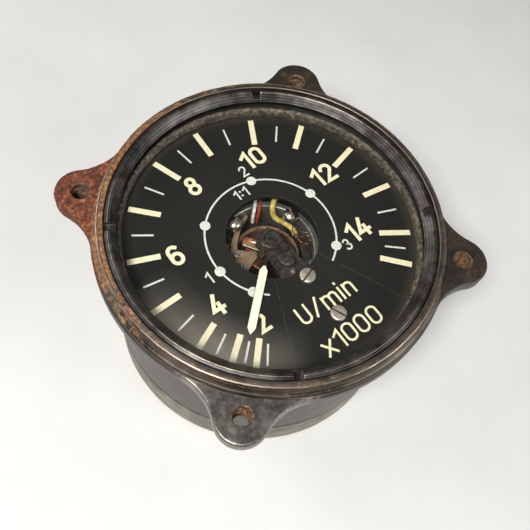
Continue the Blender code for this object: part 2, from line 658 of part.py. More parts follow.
def build_rotor():
    """Everything that turns with the pointer, drawn with the pointer along +X."""
    holder = axis_empty("pointer_axis", POINTER_REST)
    shaft = turned("rotor_shaft", [(0, 41.2), (0.15, 41.2), (0.5, 40.8), (0.5, 40.5), (1.3, 40.5), (1.5, 40.3),
                           (1.5, 39.35), (0.5, 39.35), (0.5, 27.45), (1.5, 27.45), (1.5, 26.9),
                           (0.5, 26.9), (0.5, 26.6), (0.15, 26.2), (0, 26.2)],
           STEEL, closed=False, steps=14, parent=holder)

    def draw_former(bm):
        add_box(bm, (2.0, -1.2, 28.6), (6.5, 1.2, 38.2), -COIL_LAG)

    def draw_former_window(bm):
        add_box(bm, (2.3, -2.0, 28.9), (6.2, 2.0, 37.9), -COIL_LAG)

    def draw_winding(bm):
        add_box(bm, (1.15, -1.0, 27.75), (7.3, 1.0, 39.05), -COIL_LAG)

    def draw_winding_window(bm):
        add_box(bm, (1.85, -2.0, 28.45), (6.65, 2.0, 38.35), -COIL_LAG)

    former = solid("coil_former", ALUMINIUM, draw_former, holder)
    combine(former, solid("former_window", COPPER, draw_former_window, holder), "DIFFERENCE")
    winding = solid("moving_coil", COPPER, draw_winding, holder)
    combine(winding, solid("winding_window", COPPER, draw_winding_window, holder), "DIFFERENCE")

    thick = 0.3
    side = [(1.65, ARM_LOW_Z), (RISER_R, ARM_LOW_Z), (RISER_R, ARM_TOP_Z - thick),
            (POINTER_TIP_R - 2.0, ARM_TOP_Z - thick), (POINTER_TIP_R - 2.0, ARM_TOP_Z),
            (RISER_R - 0.6, ARM_TOP_Z), (RISER_R - 0.6, ARM_LOW_Z + 0.6), (1.65, ARM_LOW_Z + 0.6)]
    arm = plate("pointer_arm", side, -0.45, 0.45, DARK_STEEL, parent=holder)
    arm.rotation_euler.x = math.radians(90)
    lume_low = ARM_TOP_Z + 0.15
    bar = [(9.5, -0.25), (11.2, -1.05), (POINTER_TIP_R - 1.5, -1.05), (POINTER_TIP_R, 0),
           (POINTER_TIP_R - 1.5, 1.05), (11.2, 1.05), (9.5, 0.25)]
    plate("pointer_lume", bar, lume_low, lume_low + 0.35, CREAM_LUME, parent=holder)

    def draw_balance(bm):
        for turn in (90, 180, 270):
            before = set(bm.verts)
            add_lathe(bm, [(0, 5.0), (0.2, 5.0), (0.2, 4.3), (0.55, 4.3), (0.55, 3.3), (0.2, 3.3),
                           (0.2, 1.2), (0, 1.2)], 0, 0, 8)
            fresh = [vert for vert in bm.verts if vert not in before]
            lay = Matrix.Rotation(math.radians(turn), 4, "Z") @ Matrix.Rotation(math.radians(90), 4, "Y")
            bmesh.ops.transform(bm, matrix=Matrix.Translation((0, 0, 40.05)) @ lay, verts=fresh)

    combine(shaft, solid("balance_weights", BRASS, draw_balance, holder), "UNION")


def build_hairsprings():
    tube("upper_hairspring", spiral(1.0, 3.9, 4, 40.95, 16, 40), 0.09, BRASS, 0)
    tube("lower_hairspring", spiral(0.9, 2.9, 3, 26.45, 14, 0), 0.09, BRASS, 0)


def build_electrics():
    floor = CHASSIS_TOP_Z + GAP
    tx = 24.0

    def draw_core(bm):
        add_box(bm, (tx - 8.0, -8.5, 27.0), (tx + 8.0, 8.5, 35.0))

    def draw_windows(bm):
        add_box(bm, (tx - 6.2, -5.0, 26.0), (tx - 2.2, 5.0, 36.0))
        add_box(bm, (tx + 2.2, -5.0, 26.0), (tx + 6.2, 5.0, 36.0))

    def draw_coil(bm):
        add_box(bm, (tx - 5.6, -4.5, floor + 0.1), (tx + 5.6, 4.5, 38.0))

    def draw_coil_hole(bm):
        add_box(bm, (tx - 2.6, -6.0, 26.6), (tx + 2.6, 6.0, 35.4))

    cut(solid("transformer_core", DARK_STEEL, draw_core), "core_windows", draw_windows)
    cut(solid("transformer_coil", COPPER, draw_coil), "coil_hole", draw_coil_hole)

    rx = -24.0
    rz = 31.5
    ends = (-11.0, 9.0)

    def draw_bracket(bm):
        add_box(bm, (rx - 4, ends[0] - 1.2, floor), (rx + 4, ends[1] + 1.2, floor + 1.0))

    def draw_uprights(bm):
        add_box(bm, (rx - 4, ends[0] - 1.2, floor + 0.4), (rx + 4, ends[0], rz + 3))
        add_box(bm, (rx - 4, ends[1], floor + 0.4), (rx + 4, ends[1] + 1.2, rz + 3))

    def lay_along_y(bm, profiles, sides):
        for profile in profiles:
            add_lathe(bm, profile, 0, 0, sides)
        bmesh.ops.transform(bm, matrix=Matrix.Translation((rx, 0, rz))
                            @ Matrix.Rotation(math.radians(-90), 4, "X"), verts=bm.verts)

    def draw_bolt_hole(bm):
        lay_along_y(bm, [[(0, 14.0), (1.6, 14.0), (1.6, -14.0), (0, -14.0)]], 12)

    def draw_stack(bm):
        profile = [(0, 12.5), (1.2, 12.5), (1.2, 8.6)]
        for index in reversed(range(7)):
            middle = ends[0] + 1.6 + index * 2.8
            profile += [(2.6, middle + 1.4), (2.6, middle + 0.4), (5.6, middle + 0.4),
                        (5.6, middle - 0.4), (2.6, middle - 0.4)]
        profile += [(2.6, ends[0] + GAP), (1.2, ends[0] + GAP), (1.2, ends[0] - 1.5),
                    (2.4, ends[0] - 1.5), (2.4, ends[0] - 3.2), (0, ends[0] - 3.2)]
        lay_along_y(bm, [profile], 12)

    bracket = solid("rectifier_bracket", ALUMINIUM, draw_bracket)
    combine(bracket, solid("bracket_uprights", ALUMINIUM, draw_uprights), "UNION")
    cut(bracket, "bolt_hole", draw_bolt_hole)
    solid("rectifier_stack", DARK_STEEL, draw_stack)

    def draw_resistor(bm):
        add_lathe(bm, [(0, 34.0), (4.6, 34.0), (4.6, 33.0), (4.0, 32.8), (4.0, floor + 1.2),
                       (4.6, floor + 1.0), (4.6, floor), (0, floor)], 9.5, 25.5, 16)

    solid("resistor_spool", BAKELITE, draw_resistor)
    strip = (-15.0, -23.5)

    def draw_strip_base(bm):
        add_box(bm, (strip[0] - 6.5, strip[1] - 2.5, floor), (strip[0] + 6.5, strip[1] + 2.5, 30.0))

    def draw_terminals(bm):
        for shift in (-4, 0, 4):
            add_box(bm, (strip[0] + shift - 0.8, strip[1] - 1.6, 29.5),
                    (strip[0] + shift + 0.8, strip[1] + 1.6, 31.2))

    block = solid("terminal_strip", BAKELITE, draw_strip_base)
    combine(block, solid("terminals", BRASS, draw_terminals), "UNION")


def build_leads():
    """Sleeved wires between the connector, the terminals and the movement."""
    top = PIN_TOP_Z + 0.5
    tube("feed_lead_red", smooth_route(
        [(-PIN_X, 0, top), (-6.6, 1.2, 17.4), (-10.5, 6, 18.6), (-16.6, 11.2, 20.0), (-18, 12, 23.0),
         (-17.4, 9, 26.0), (-16.5, 2, 26.0), (-15.5, -10, 25.8), (-15.0, -18.5, 26.5),
         (-15.0, -20.4, 28.0)], 2), 0.6, RED_SLEEVE)
    tube("feed_lead_yellow", smooth_route(
        [(PIN_X, 0, top), (6.8, -2, 17.4), (11, -14, 18.6), (15.4, -21, 20.0), (16, -22, 23.0),
         (12.5, -22.5, 26.0), (6.5, -21.5, 26.0), (-1, -20.0, 25.8), (-5.2, -22.4, 27.0),
         (-7.8, -23.2, 28.0)], 2), 0.6, YELLOW_SLEEVE)
    tube("movement_lead_red", smooth_route(
        [(14.0, 16.5, 41.4), (9.5, 14.6, 41.4), (6.6, 12.4, 41.4), (5.4, 10.9, 41.1), (4.6, 9.4, 39.8),
         (4.1, 8.6, 38.2), (3.7, 8.1, 36.6)], 3), 0.42, RED_SLEEVE)
    tube("movement_lead_white", smooth_route(
        [(6.0, 16.0, 41.4), (4.2, 12.4, 41.4), (3.7, 11.1, 41.1), (3.1, 9.6, 39.7), (2.6, 8.7, 38.0),
         (2.2, 8.2, 36.3)], 3),
        0.4, WHITE_SLEEVE)
    tube("movement_lead_yellow", smooth_route(
        [(13.5, 12.5, 41.6), (10.6, 10.8, 41.6), (8.6, 9.1, 41.5), (7.7, 8.3, 41.2), (6.7, 7.3, 40.0),
         (6.3, 6.4, 39.0), (6.7, 5.5, 38.5), (7.4, 4.5, 38.2), (8.0, 3.4, 38.1), (8.4, 2.3, 38.0), (8.5, 1.0, 37.8),
         (8.3, -0.2, 37.6)], 3), 0.62, YELLOW_SLEEVE)
    loops = []
    for step in range(49):
        dx, dy = on_circle(1.0 + 0.008 * step, 360 * step / 12)
        loops.append((9.6 + dx * 0.9, -3.1 + dy, 37.2 + 0.032 * step))
    tube("lead_coil", loops, 0.12, DARK_STEEL, 0)


build_case()
build_rear()
build_window()
build_dial()
build_chassis()
build_magnet_system()
build_bridges()
build_zero_lever()
build_rotor()
build_hairsprings()
build_electrics()
build_leads()
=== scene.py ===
"""Looks of the engine tachometer indicator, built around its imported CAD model.

Sizes are in millimetres and angles in degrees, in the model's own frame: the origin is the centre of
the rear rim, +Z points out through the glass, +Y to twelve o'clock and +X to three o'clock.
"""
import math

import bmesh
import bpy
from mathutils import Matrix, Vector, noise


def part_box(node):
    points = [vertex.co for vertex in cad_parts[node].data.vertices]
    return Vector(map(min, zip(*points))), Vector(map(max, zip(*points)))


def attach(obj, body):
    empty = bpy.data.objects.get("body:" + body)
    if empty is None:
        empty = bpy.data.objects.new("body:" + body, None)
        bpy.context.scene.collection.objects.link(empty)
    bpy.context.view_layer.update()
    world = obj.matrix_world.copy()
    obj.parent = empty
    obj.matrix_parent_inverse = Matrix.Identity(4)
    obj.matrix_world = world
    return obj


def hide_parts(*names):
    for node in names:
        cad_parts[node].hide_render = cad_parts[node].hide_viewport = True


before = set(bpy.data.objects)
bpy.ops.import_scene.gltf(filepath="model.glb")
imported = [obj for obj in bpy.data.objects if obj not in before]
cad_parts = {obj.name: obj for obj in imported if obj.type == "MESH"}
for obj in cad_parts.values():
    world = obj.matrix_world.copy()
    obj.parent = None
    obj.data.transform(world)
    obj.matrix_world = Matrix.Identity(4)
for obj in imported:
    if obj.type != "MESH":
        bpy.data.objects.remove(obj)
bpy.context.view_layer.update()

MM = 0.001


def low_high(node):
    """Lowest and highest corner of a CAD node, in millimetres."""
    low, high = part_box(node)
    return low / MM, high / MM


# ---------------------------------------------------------------- sizes taken from the frame

CASE_HIGH = low_high("case_body")[1]
GLASS_LOW, GLASS_HIGH = low_high("glass")
RING_LOW, RING_HIGH = low_high("retaining_ring")
SPACER_LOW, SPACER_HIGH = low_high("spacer_ring")
DIAL_LOW, DIAL_HIGH = low_high("dial_plate")
COVER_HIGH = low_high("rear_cover")[1]
SHELL_LOW, SHELL_HIGH = low_high("connector_shell")
LUME_LOW, LUME_HIGH = low_high("pointer_lume")

RIM_TOP = CASE_HIGH.z
RIM_R = 41.4
BARREL_R = COVER_HIGH.x
BORE_R = 37.4
LEDGE_Z = 48.2
LEDGE_BORE_R = 39.6
SEAT_Z = 50.0
FLANGE_THICK = 4.0
FLANGE_R = 43.0
HOLE_HALF = 33.0            # the four mounting holes stand this far from both middle lines
HOLE_R = 2.15
BUSH_R = 3.5
EAR_R = 6.2
EAR_BLEND_R = 14.0
RUSTY_EAR = (-HOLE_HALF, HOLE_HALF)
BARE_EAR = (-HOLE_HALF, -HOLE_HALF)

DIAL_TOP = DIAL_HIGH.z
DIAL_R = DIAL_HIGH.x
DIAL_HOLE_R = 11.6
DIAL_HOLE_Y = -0.5
SEAM_ANGLE = 25.0
SEAM_OFFSET = 1.8
PRINT = 0.05                # thickness of the lacquer that the marks are printed in
POINTER_REST = 222.7        # direction of the parked pointer, anticlockwise from three o'clock


# ---------------------------------------------------------------- finishes

def tone(red, green, blue):
    """Linear colour from its everyday 0 to 255 values."""
    parts = []
    for value in (red, green, blue):
        share = value / 255
        parts.append(share / 12.92 if share <= 0.04045 else ((share + 0.055) / 1.055) ** 2.4)
    return (*parts, 1.0)


class Finish:
    """A Principled material and the nodes that feed it. Lengths are in millimetres."""

    def __init__(self, name, metallic=0.0):
        self.material = bpy.data.materials.new(name)
        self.material.use_nodes = True
        tree = self.material.node_tree
        self.nodes = tree.nodes
        self.links = tree.links
        self.shader = tree.nodes["Principled BSDF"]
        self.shader.inputs["Metallic"].default_value = metallic
        coordinates = self.add("ShaderNodeTexCoord").outputs["Object"]
        self.place = self.scaled_place(coordinates, (1, 1, 1))
        self.raw = coordinates

    def add(self, kind, **settings):
        node = self.nodes.new(kind)
        for key, value in settings.items():
            setattr(node, key, value)
        return node

    def link(self, source, target):
        self.links.new(source, target)

    def scaled_place(self, source, stretch):
        """Object coordinates in millimetres, stretched along each axis."""
        mapping = self.add("ShaderNodeMapping")
        mapping.inputs["Scale"].default_value = [1 / MM / part for part in stretch]
        self.link(source, mapping.inputs["Vector"])
        return mapping.outputs["Vector"]

    def noise(self, size, detail=4.0, stretch=None, rough=0.55, lumps=0.0):
        """Noise with features about size across."""
        place = self.place if stretch is None else self.scaled_place(self.raw, stretch)
        node = self.add("ShaderNodeTexNoise")
        node.inputs["Scale"].default_value = 1 / size
        node.inputs["Detail"].default_value = detail
        node.inputs["Roughness"].default_value = rough
        node.inputs["Distortion"].default_value = lumps
        self.link(place, node.inputs["Vector"])
        return node.outputs["Fac"]

    def radius(self):
        """Distance from the Z axis."""
        flat = self.add("ShaderNodeVectorMath", operation="MULTIPLY")
        flat.inputs[1].default_value = (1, 1, 0)
        self.link(self.place, flat.inputs[0])
        length = self.add("ShaderNodeVectorMath", operation="LENGTH")
        self.link(flat.outputs["Vector"], length.inputs[0])
        return length.outputs["Value"]

    def height(self):
        """Height above the rear rim."""
        parts = self.add("ShaderNodeSeparateXYZ")
        self.link(self.place, parts.inputs[0])
        return parts.outputs["Z"]

    def tool_marks(self, along, spacing):
        """Fine turned lines against a radius or a height, uneven from one line to the next."""
        node = self.add("ShaderNodeTexNoise", noise_dimensions="1D")
        node.inputs["Scale"].default_value = 1 / spacing
        node.inputs["Detail"].default_value = 3.0
        self.link(along, node.inputs["W"])
        return node.outputs["Fac"]

    def near(self, centre, reach, softness):
        """1 at the centre, falling to 0 past reach, over a softness."""
        away = self.add("ShaderNodeVectorMath", operation="DISTANCE")
        away.inputs[1].default_value = centre
        self.link(self.place, away.inputs[0])
        return self.fade(away.outputs["Value"], reach + softness, reach - softness)

    def fade(self, value, start, end):
        """Runs from 0 at start to 1 at end."""
        node = self.add("ShaderNodeMapRange")
        node.inputs["From Min"].default_value = start
        node.inputs["From Max"].default_value = end
        self.link(value, node.inputs["Value"])
        return node.outputs["Result"]

    def math(self, operation, first, second):
        node = self.add("ShaderNodeMath", operation=operation)
        for socket, value in zip(node.inputs, (first, second)):
            if isinstance(value, (int, float)):
                socket.default_value = value
            else:
                self.link(value, socket)
        return node.outputs["Value"]

    def times(self, first, second):
        return self.math("MULTIPLY", first, second)

    def plus(self, first, second):
        return self.math("ADD", first, second)

    def either(self, share, first, second):
        """Surface that is the first shader, and by a share the second."""
        node = self.add("ShaderNodeMixShader")
        self.link(share, node.inputs["Fac"])
        self.link(first, node.inputs[1])
        self.link(second, node.inputs[2])
        return node.outputs[0]

    def surface(self, shader):
        self.link(shader, self.nodes["Material Output"].inputs["Surface"])

    def ramp(self, value, *stops):
        """Colours against a value; each stop is a position and an everyday colour."""
        node = self.add("ShaderNodeValToRGB")
        elements = node.color_ramp.elements
        while len(elements) < len(stops):
            elements.new(0.5)
        for element, (position, colour) in zip(elements, stops):
            element.position = position
            element.color = tone(*colour)
        self.link(value, node.inputs["Fac"])
        return node.outputs["Color"]

    def blend(self, share, first, second):
        """Mix of two colours by a share that the surface sets."""
        node = self.add("ShaderNodeMix", data_type="RGBA")
        self.link(share, node.inputs[0])
        for socket, value in ((node.inputs[6], first), (node.inputs[7], second)):
            if isinstance(value, tuple):
                socket.default_value = tone(*value)
            else:
                self.link(value, socket)
        return node.outputs[2]

    def colour(self, source):
        self.link(source, self.shader.inputs["Base Color"])

    def roughness(self, value, low, high):
        node = self.add("ShaderNodeMapRange")
        node.inputs["To Min"].default_value = low
        node.inputs["To Max"].default_value = high
        self.link(value, node.inputs["Value"])
        self.link(node.outputs["Result"], self.shader.inputs["Roughness"])

    def metallic(self, source):
        self.link(source, self.shader.inputs["Metallic"])

    def bump(self, height, depth, strength=1.0):
        node = self.add("ShaderNodeBump")
        node.inputs["Distance"].default_value = depth * MM
        node.inputs["Strength"].default_value = strength
        self.link(height, node.inputs["Height"])
        if self.shader.inputs["Normal"].is_linked:
            self.link(self.shader.inputs["Normal"].links[0].from_socket, node.inputs["Normal"])
        self.link(node.outputs["Normal"], self.shader.inputs["Normal"])


def plain_finish(name, dark, light, metallic, rough, grain=0.8, depth=0.01, fleck=6.0):
    """Two close tones broken up by noise at two sizes, with a fine grain."""
    finish = Finish(name, metallic)
    broad = finish.noise(fleck, 5.0)
    finish.colour(finish.ramp(broad, (0.35, dark), (0.65, light)))
    fine = finish.noise(grain, 3.0)
    finish.roughness(fine, rough[0], rough[1])
    finish.bump(fine, depth, 0.6)
    return finish


def lacquered_case():
    """Black-brown lacquer: rusted through at one ear, rubbed to bare steel at another."""
    finish = Finish("case_lacquer")
    mottled = finish.noise(5.0, 8.0, rough=0.65)
    flecks = finish.noise(1.6, 8.0, rough=0.8)
    spread = finish.plus(finish.times(mottled, 0.5), finish.times(flecks, 0.5))
    lacquer = finish.ramp(spread, (0.38, (26, 22, 18)), (0.52, (43, 36, 30)), (0.60, (66, 52, 39)),
                          (0.68, (108, 82, 58)))
    steel = finish.ramp(spread, (0.38, (84, 78, 74)), (0.50, (122, 116, 112)), (0.61, (156, 149, 140)))
    rust = finish.ramp(finish.noise(1.3, 10.0, rough=0.8, lumps=0.3), (0.35, (30, 17, 12)),
                       (0.46, (76, 37, 23)), (0.54, (114, 59, 36)), (0.62, (156, 98, 64)),
                       (0.72, (194, 150, 112)))
    front = finish.fade(finish.height(), SEAT_Z - 4.6, SEAT_Z - 3.4)
    bare_share = finish.plus(finish.near((*BARE_EAR, SEAT_Z), 16.0, 9.0), finish.times(spread, 0.9))
    bare_share = finish.times(finish.fade(bare_share, 0.88, 1.10), front)
    rust_share = finish.plus(finish.near((*RUSTY_EAR, SEAT_Z), 23.0, 10.0),
                             finish.times(finish.noise(3.0, 7.0, rough=0.7), 1.2))
    rust_share = finish.fade(rust_share, 0.94, 1.14)
    worn = finish.blend(bare_share, lacquer, steel)
    finish.colour(finish.blend(rust_share, worn, rust))
    finish.metallic(finish.times(bare_share, finish.fade(rust_share, 1.0, 0.0)))
    finish.roughness(finish.plus(rust_share, finish.times(mottled, 0.45)), 0.26, 0.85)
    finish.bump(finish.noise(0.7, 5.0), 0.03, 0.5)
    finish.bump(finish.times(finish.noise(1.3, 8.0), rust_share), 0.25, 0.9)
    return finish


def turned_rim():
    """Rubbed lacquer over turned steel, rusty beside the rusty ear and browner in the tool marks."""
    finish = Finish("rim_turned")
    lines = finish.plus(finish.tool_marks(finish.radius(), 0.35), finish.tool_marks(finish.height(), 0.30))
    patches = finish.noise(9.0, 7.0, rough=0.7)
    mixed = finish.plus(finish.times(lines, 0.35), finish.times(patches, 0.40))
    bare = finish.ramp(mixed, (0.42, (38, 33, 29)), (0.51, (70, 64, 57)), (0.62, (120, 112, 103)))
    rust = finish.ramp(finish.noise(1.1, 8.0, rough=0.8), (0.38, (62, 38, 24)), (0.50, (122, 80, 48)),
                       (0.64, (184, 146, 106)))
    beside = finish.near((*RUSTY_EAR, RIM_TOP), 34.0, 16.0)
    spots = finish.noise(2.2, 8.0, rough=0.75)
    share = finish.plus(finish.times(beside, 0.28), spots)
    share = finish.fade(share, 0.58, 0.74)
    finish.colour(finish.blend(share, bare, rust))
    finish.metallic(finish.fade(share, 1.2, 0.0))
    finish.roughness(finish.plus(patches, finish.times(share, 0.6)), 0.28, 0.62)
    finish.bump(lines, 0.02, 0.7)
    finish.bump(spots, 0.03, 0.5)
    return finish


def grained(name, size, detail, spread, depth, strength, *stops, metallic=0.0, rough=0.55):
    """One noise that sets the tone, the roughness within a spread, and the relief."""
    finish = Finish(name, metallic)
    grain = finish.noise(size, detail, rough=rough)
    finish.colour(finish.ramp(grain, *stops))
    finish.roughness(grain, *spread)
    finish.bump(grain, depth, strength)
    return finish


def worn_edge():
    finish = Finish("worn_edge", 1.0)
    patches = finish.noise(2.5, 6.0, rough=0.7)
    finish.colour(finish.ramp(patches, (0.35, (92, 80, 70)), (0.60, (176, 164, 150))))
    finish.roughness(patches, 0.25, 0.5)
    finish.bump(finish.noise(0.4, 3.0), 0.01, 0.6)
    return finish


def satin_ring():
    finish = Finish("ring_satin", 0.8)
    lines = finish.tool_marks(finish.radius(), 0.16)
    smear = finish.noise(5.0, 6.0, rough=0.65)
    mixed = finish.plus(finish.times(lines, 0.45), finish.times(smear, 0.55))
    finish.colour(finish.ramp(mixed, (0.40, (40, 39, 38)), (0.50, (68, 66, 64)), (0.62, (110, 106, 101))))
    finish.roughness(smear, 0.26, 0.5)
    finish.bump(lines, 0.012, 0.8)
    return finish


def dial_paint():
    finish = Finish("dial_paint")
    cloud = finish.noise(14.0, 5.0)
    specks = finish.ramp(finish.noise(0.45, 2.0), (0.70, (0, 0, 0)), (0.78, (255, 255, 255)))
    base = finish.ramp(cloud, (0.35, (17, 15, 12)), (0.65, (25, 22, 18)))
    dust = finish.times(specks, 0.35)
    near_edge = finish.fade(finish.radius(), DIAL_R - 3.0, DIAL_R + 1.0)
    rim_dirt = finish.times(near_edge, finish.noise(3.0, 6.0))
    dusted = finish.blend(dust, base, (92, 84, 76))
    finish.colour(finish.blend(rim_dirt, dusted, (84, 72, 60)))
    finish.shader.inputs["Specular IOR Level"].default_value = 0.3
    finish.roughness(cloud, 0.55, 0.75)
    finish.bump(finish.noise(0.25, 2.0), 0.006, 0.6)
    return finish


def printing(name, light, shade):
    return grained(name, 0.5, 4.0, (0.5, 0.8), 0.012, 0.7, (0.25, shade), (0.6, light))


def winding_finish(name, dark, light):
    """Enamelled wire laid in close turns."""
    finish = plain_finish(name, dark, light, 0.85, (0.22, 0.4), grain=0.5, fleck=2.5)
    finish.bump(finish.noise(0.16, 1.0, stretch=(1, 1, 0.12)), 0.03, 0.8)
    return finish


def sleeve_finish(name, dark, light):
    """Woven insulating sleeve, varnished."""
    finish = Finish(name)
    weave = finish.add("ShaderNodeTexVoronoi")
    weave.inputs["Scale"].default_value = 1 / 0.16
    finish.link(finish.place, weave.inputs["Vector"])
    finish.colour(finish.ramp(finish.noise(1.2, 5.0), (0.35, dark), (0.62, light)))
    finish.roughness(finish.noise(0.8), 0.35, 0.6)
    finish.bump(weave.outputs["Distance"], 0.05, 0.7)
    return finish


def window_glass():
    """Clear pane that lets lamps through, with a little dust and a soft haze at one side."""
    finish = Finish("window_glass")
    finish.nodes.remove(finish.shader)
    clear = finish.add("ShaderNodeBsdfTransparent")
    clear.inputs["Color"].default_value = (0.97, 0.985, 0.975, 1.0)
    mirror = finish.add("ShaderNodeBsdfGlossy")
    mirror.inputs["Roughness"].default_value = 0.06
    dust = finish.add("ShaderNodeBsdfDiffuse")
    dust.inputs["Color"].default_value = tone(190, 182, 168)
    fresnel = finish.add("ShaderNodeFresnel")
    fresnel.inputs["IOR"].default_value = 1.5
    side = finish.add("ShaderNodeNewGeometry")
    outside = finish.math("SUBTRACT", 1.0, side.outputs["Backfacing"])
    shine = finish.either(finish.times(fresnel.outputs["Fac"], outside), clear.outputs[0], mirror.outputs[0])
    haze = finish.near((-29.5, -17.5, GLASS_HIGH.z), 13.0, 9.0)
    haze = finish.times(haze, finish.fade(finish.radius(), 25.0, 33.0))
    haze = finish.times(haze, finish.plus(finish.noise(6.0, 6.0), 0.5))
    specks = finish.times(finish.fade(finish.noise(0.7, 6.0, rough=0.7), 0.64, 0.74), 0.06)
    cover = finish.plus(finish.times(haze, 0.20), specks)
    cover = finish.times(cover, outside)
    finish.surface(finish.either(cover, shine, dust.outputs[0]))
    return finish


def one_sided_floor():
    """Pale matt floor that can be looked through from below."""
    finish = plain_finish("floor_pale", (206, 206, 204), (212, 212, 210), 0.0, (0.75, 0.85), 3.0, 0.05, 40.0)
    side = finish.add("ShaderNodeNewGeometry")
    clear = finish.add("ShaderNodeBsdfTransparent")
    finish.surface(finish.either(side.outputs["Backfacing"], finish.shader.outputs[0], clear.outputs[0]))
    return finish


CASE = lacquered_case()
RIM = turned_rim()
EDGE = worn_edge()
GRIME = grained("packed_dirt", 0.9, 8.0, (0.7, 0.95), 0.05, 0.8, (0.38, (34, 25, 19)),
                (0.52, (90, 66, 46)), (0.68, (158, 122, 86)), rough=0.75)
RING = satin_ring()
GLASS = window_glass()
DUST = grained("surround_dust", 1.2, 9.0, (0.4, 0.75), 0.04, 0.6, (0.38, (40, 33, 27)),
               (0.50, (84, 73, 62)), (0.60, (132, 118, 102)), (0.70, (180, 165, 145)), metallic=0.15,
               rough=0.75)
DIAL = dial_paint()
SEAM = plain_finish("dial_bare_edge", (142, 124, 98), (196, 176, 146), 0.1, (0.45, 0.65), 0.4, 0.01, 2.0)
CREAM = printing("print_cream", (249, 236, 205), (229, 212, 174))
WHITE = printing("print_white", (226, 223, 217), (196, 192, 184))
LUME = printing("pointer_lume_paint", (252, 250, 222), (234, 228, 190))
COVER = plain_finish("cover_alloy", (112, 106, 95), (146, 141, 129), 0.75, (0.38, 0.6), 0.6, 0.03)
CHROME = plain_finish("nickel_bright", (204, 196, 184), (240, 236, 228), 1.0, (0.24, 0.36), 0.6, 0.006, 1.5)
NICKEL = plain_finish("nickel_worn", (196, 182, 168), (240, 230, 218), 0.8, (0.32, 0.5), 0.5, 0.012, 1.5)
STEEL = plain_finish("steel_plain", (128, 126, 124), (186, 184, 180), 1.0, (0.25, 0.42), 0.5, 0.01, 3.0)
DARK = plain_finish("steel_blackened", (58, 50, 45), (112, 103, 97), 0.8, (0.28, 0.52), 0.4, 0.025, 1.3)
BRASS = plain_finish("brass_aged", (132, 98, 50), (196, 156, 92), 0.95, (0.25, 0.45), 0.6, 0.012, 3.5)
COPPER = winding_finish("copper_wire", (98, 56, 38), (164, 104, 72))
BRONZE = plain_finish("bronze_tan", (154, 124, 98), (204, 172, 142), 0.55, (0.35, 0.6), 0.5, 0.015, 2.5)
ALLOY = plain_finish("alloy_light", (140, 138, 132), (196, 194, 188), 0.9, (0.3, 0.5), 0.7, 0.012, 4.0)
BAKELITE = plain_finish("bakelite_brown", (46, 26, 18), (74, 44, 30), 0.0, (0.25, 0.45), 1.2, 0.01, 4.0)
RUBBER = plain_finish("rubber_dark", (24, 24, 24), (42, 40, 38), 0.0, (0.7, 0.9), 0.5, 0.03, 3.0)
AGED = plain_finish("brass_dull", (70, 58, 40), (120, 100, 70), 0.85, (0.3, 0.5), 0.4, 0.012, 1.2)
TAN = plain_finish("bronze_orange", (116, 84, 64), (178, 138, 110), 0.5, (0.4, 0.65), 0.5, 0.02, 1.8)
LEAD = plain_finish("wire_tinned", (78, 62, 50), (150, 122, 98), 0.9, (0.2, 0.4), 0.3, 0.01, 0.8)
RED = sleeve_finish("sleeve_red", (110, 28, 20), (172, 56, 40))
YELLOW = sleeve_finish("sleeve_yellow", (160, 128, 52), (222, 196, 110))
PALE = sleeve_finish("sleeve_white", (176, 170, 158), (222, 218, 208))
FLOOR = one_sided_floor()


# ---------------------------------------------------------------- mesh helpers

def on_circle(radius, degrees, x=0.0, y=0.0):
    angle = math.radians(degrees)
    return x + radius * math.cos(angle), y + radius * math.sin(angle)


def arc(cx, cy, radius, start, end, steps, tall=None):
    """Points along an arc; tall makes it an ellipse of that half height."""
    points = []
    for step in range(steps + 1):
        angle = math.radians(start + (end - start) * step / steps)
        points.append((cx + radius * math.cos(angle), cy + (tall or radius) * math.sin(angle)))
    return points


def spin_z(degrees, x=0.0, y=0.0):
    return Matrix.Translation((x, y, 0)) @ Matrix.Rotation(math.radians(degrees), 4, "Z")


def moved_in(point, angle, depth):
    """A point of a turned wall, moved in towards the axis."""
    return point - Vector((math.cos(angle), math.sin(angle), 0)) * depth


def thread_wave(z, angle, pitch):
    """Share of a thread's depth at a height and an angle, in radians."""
    return 0.5 - 0.5 * math.cos(math.tau * (z / pitch - angle / math.tau))


def drawn(draw, *args, **settings):
    """New bmesh with one shape in it."""
    bm = bmesh.new()
    draw(bm, *args, **settings)
    return bm


def to_metres(bm):
    """Scale a bmesh drawn in millimetres, and turn its faces outward."""
    bmesh.ops.scale(bm, vec=(MM, MM, MM), verts=bm.verts)
    bmesh.ops.recalc_face_normals(bm, faces=bm.faces)


def mesh_of(name, bm, materials):
    mesh = bpy.data.meshes.new(name)
    bm.to_mesh(mesh)
    bm.free()
    for material in materials:
        mesh.materials.append(material)
    return mesh


def new_object(name, data):
    made = bpy.data.objects.new(name, data)
    bpy.context.scene.collection.objects.link(made)
    return made


def shade(mesh, sharp=34.0):
    mesh.shade_smooth()
    mesh.set_sharp_from_angle(angle=math.radians(sharp))


def enlist(piece, body, node):
    """Fix a piece to a body and the CAD node that it stands for."""
    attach(piece, body)
    if node:
        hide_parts(node)
    return piece


def add_piece(name, bm, finishes, body="case", node=None, sharp=34.0):
    """Make a piece of a bmesh drawn in millimetres."""
    to_metres(bm)
    mesh = mesh_of(name, bm, [finish.material for finish in finishes])
    shade(mesh, sharp)
    return enlist(new_object(name, mesh), body, node)


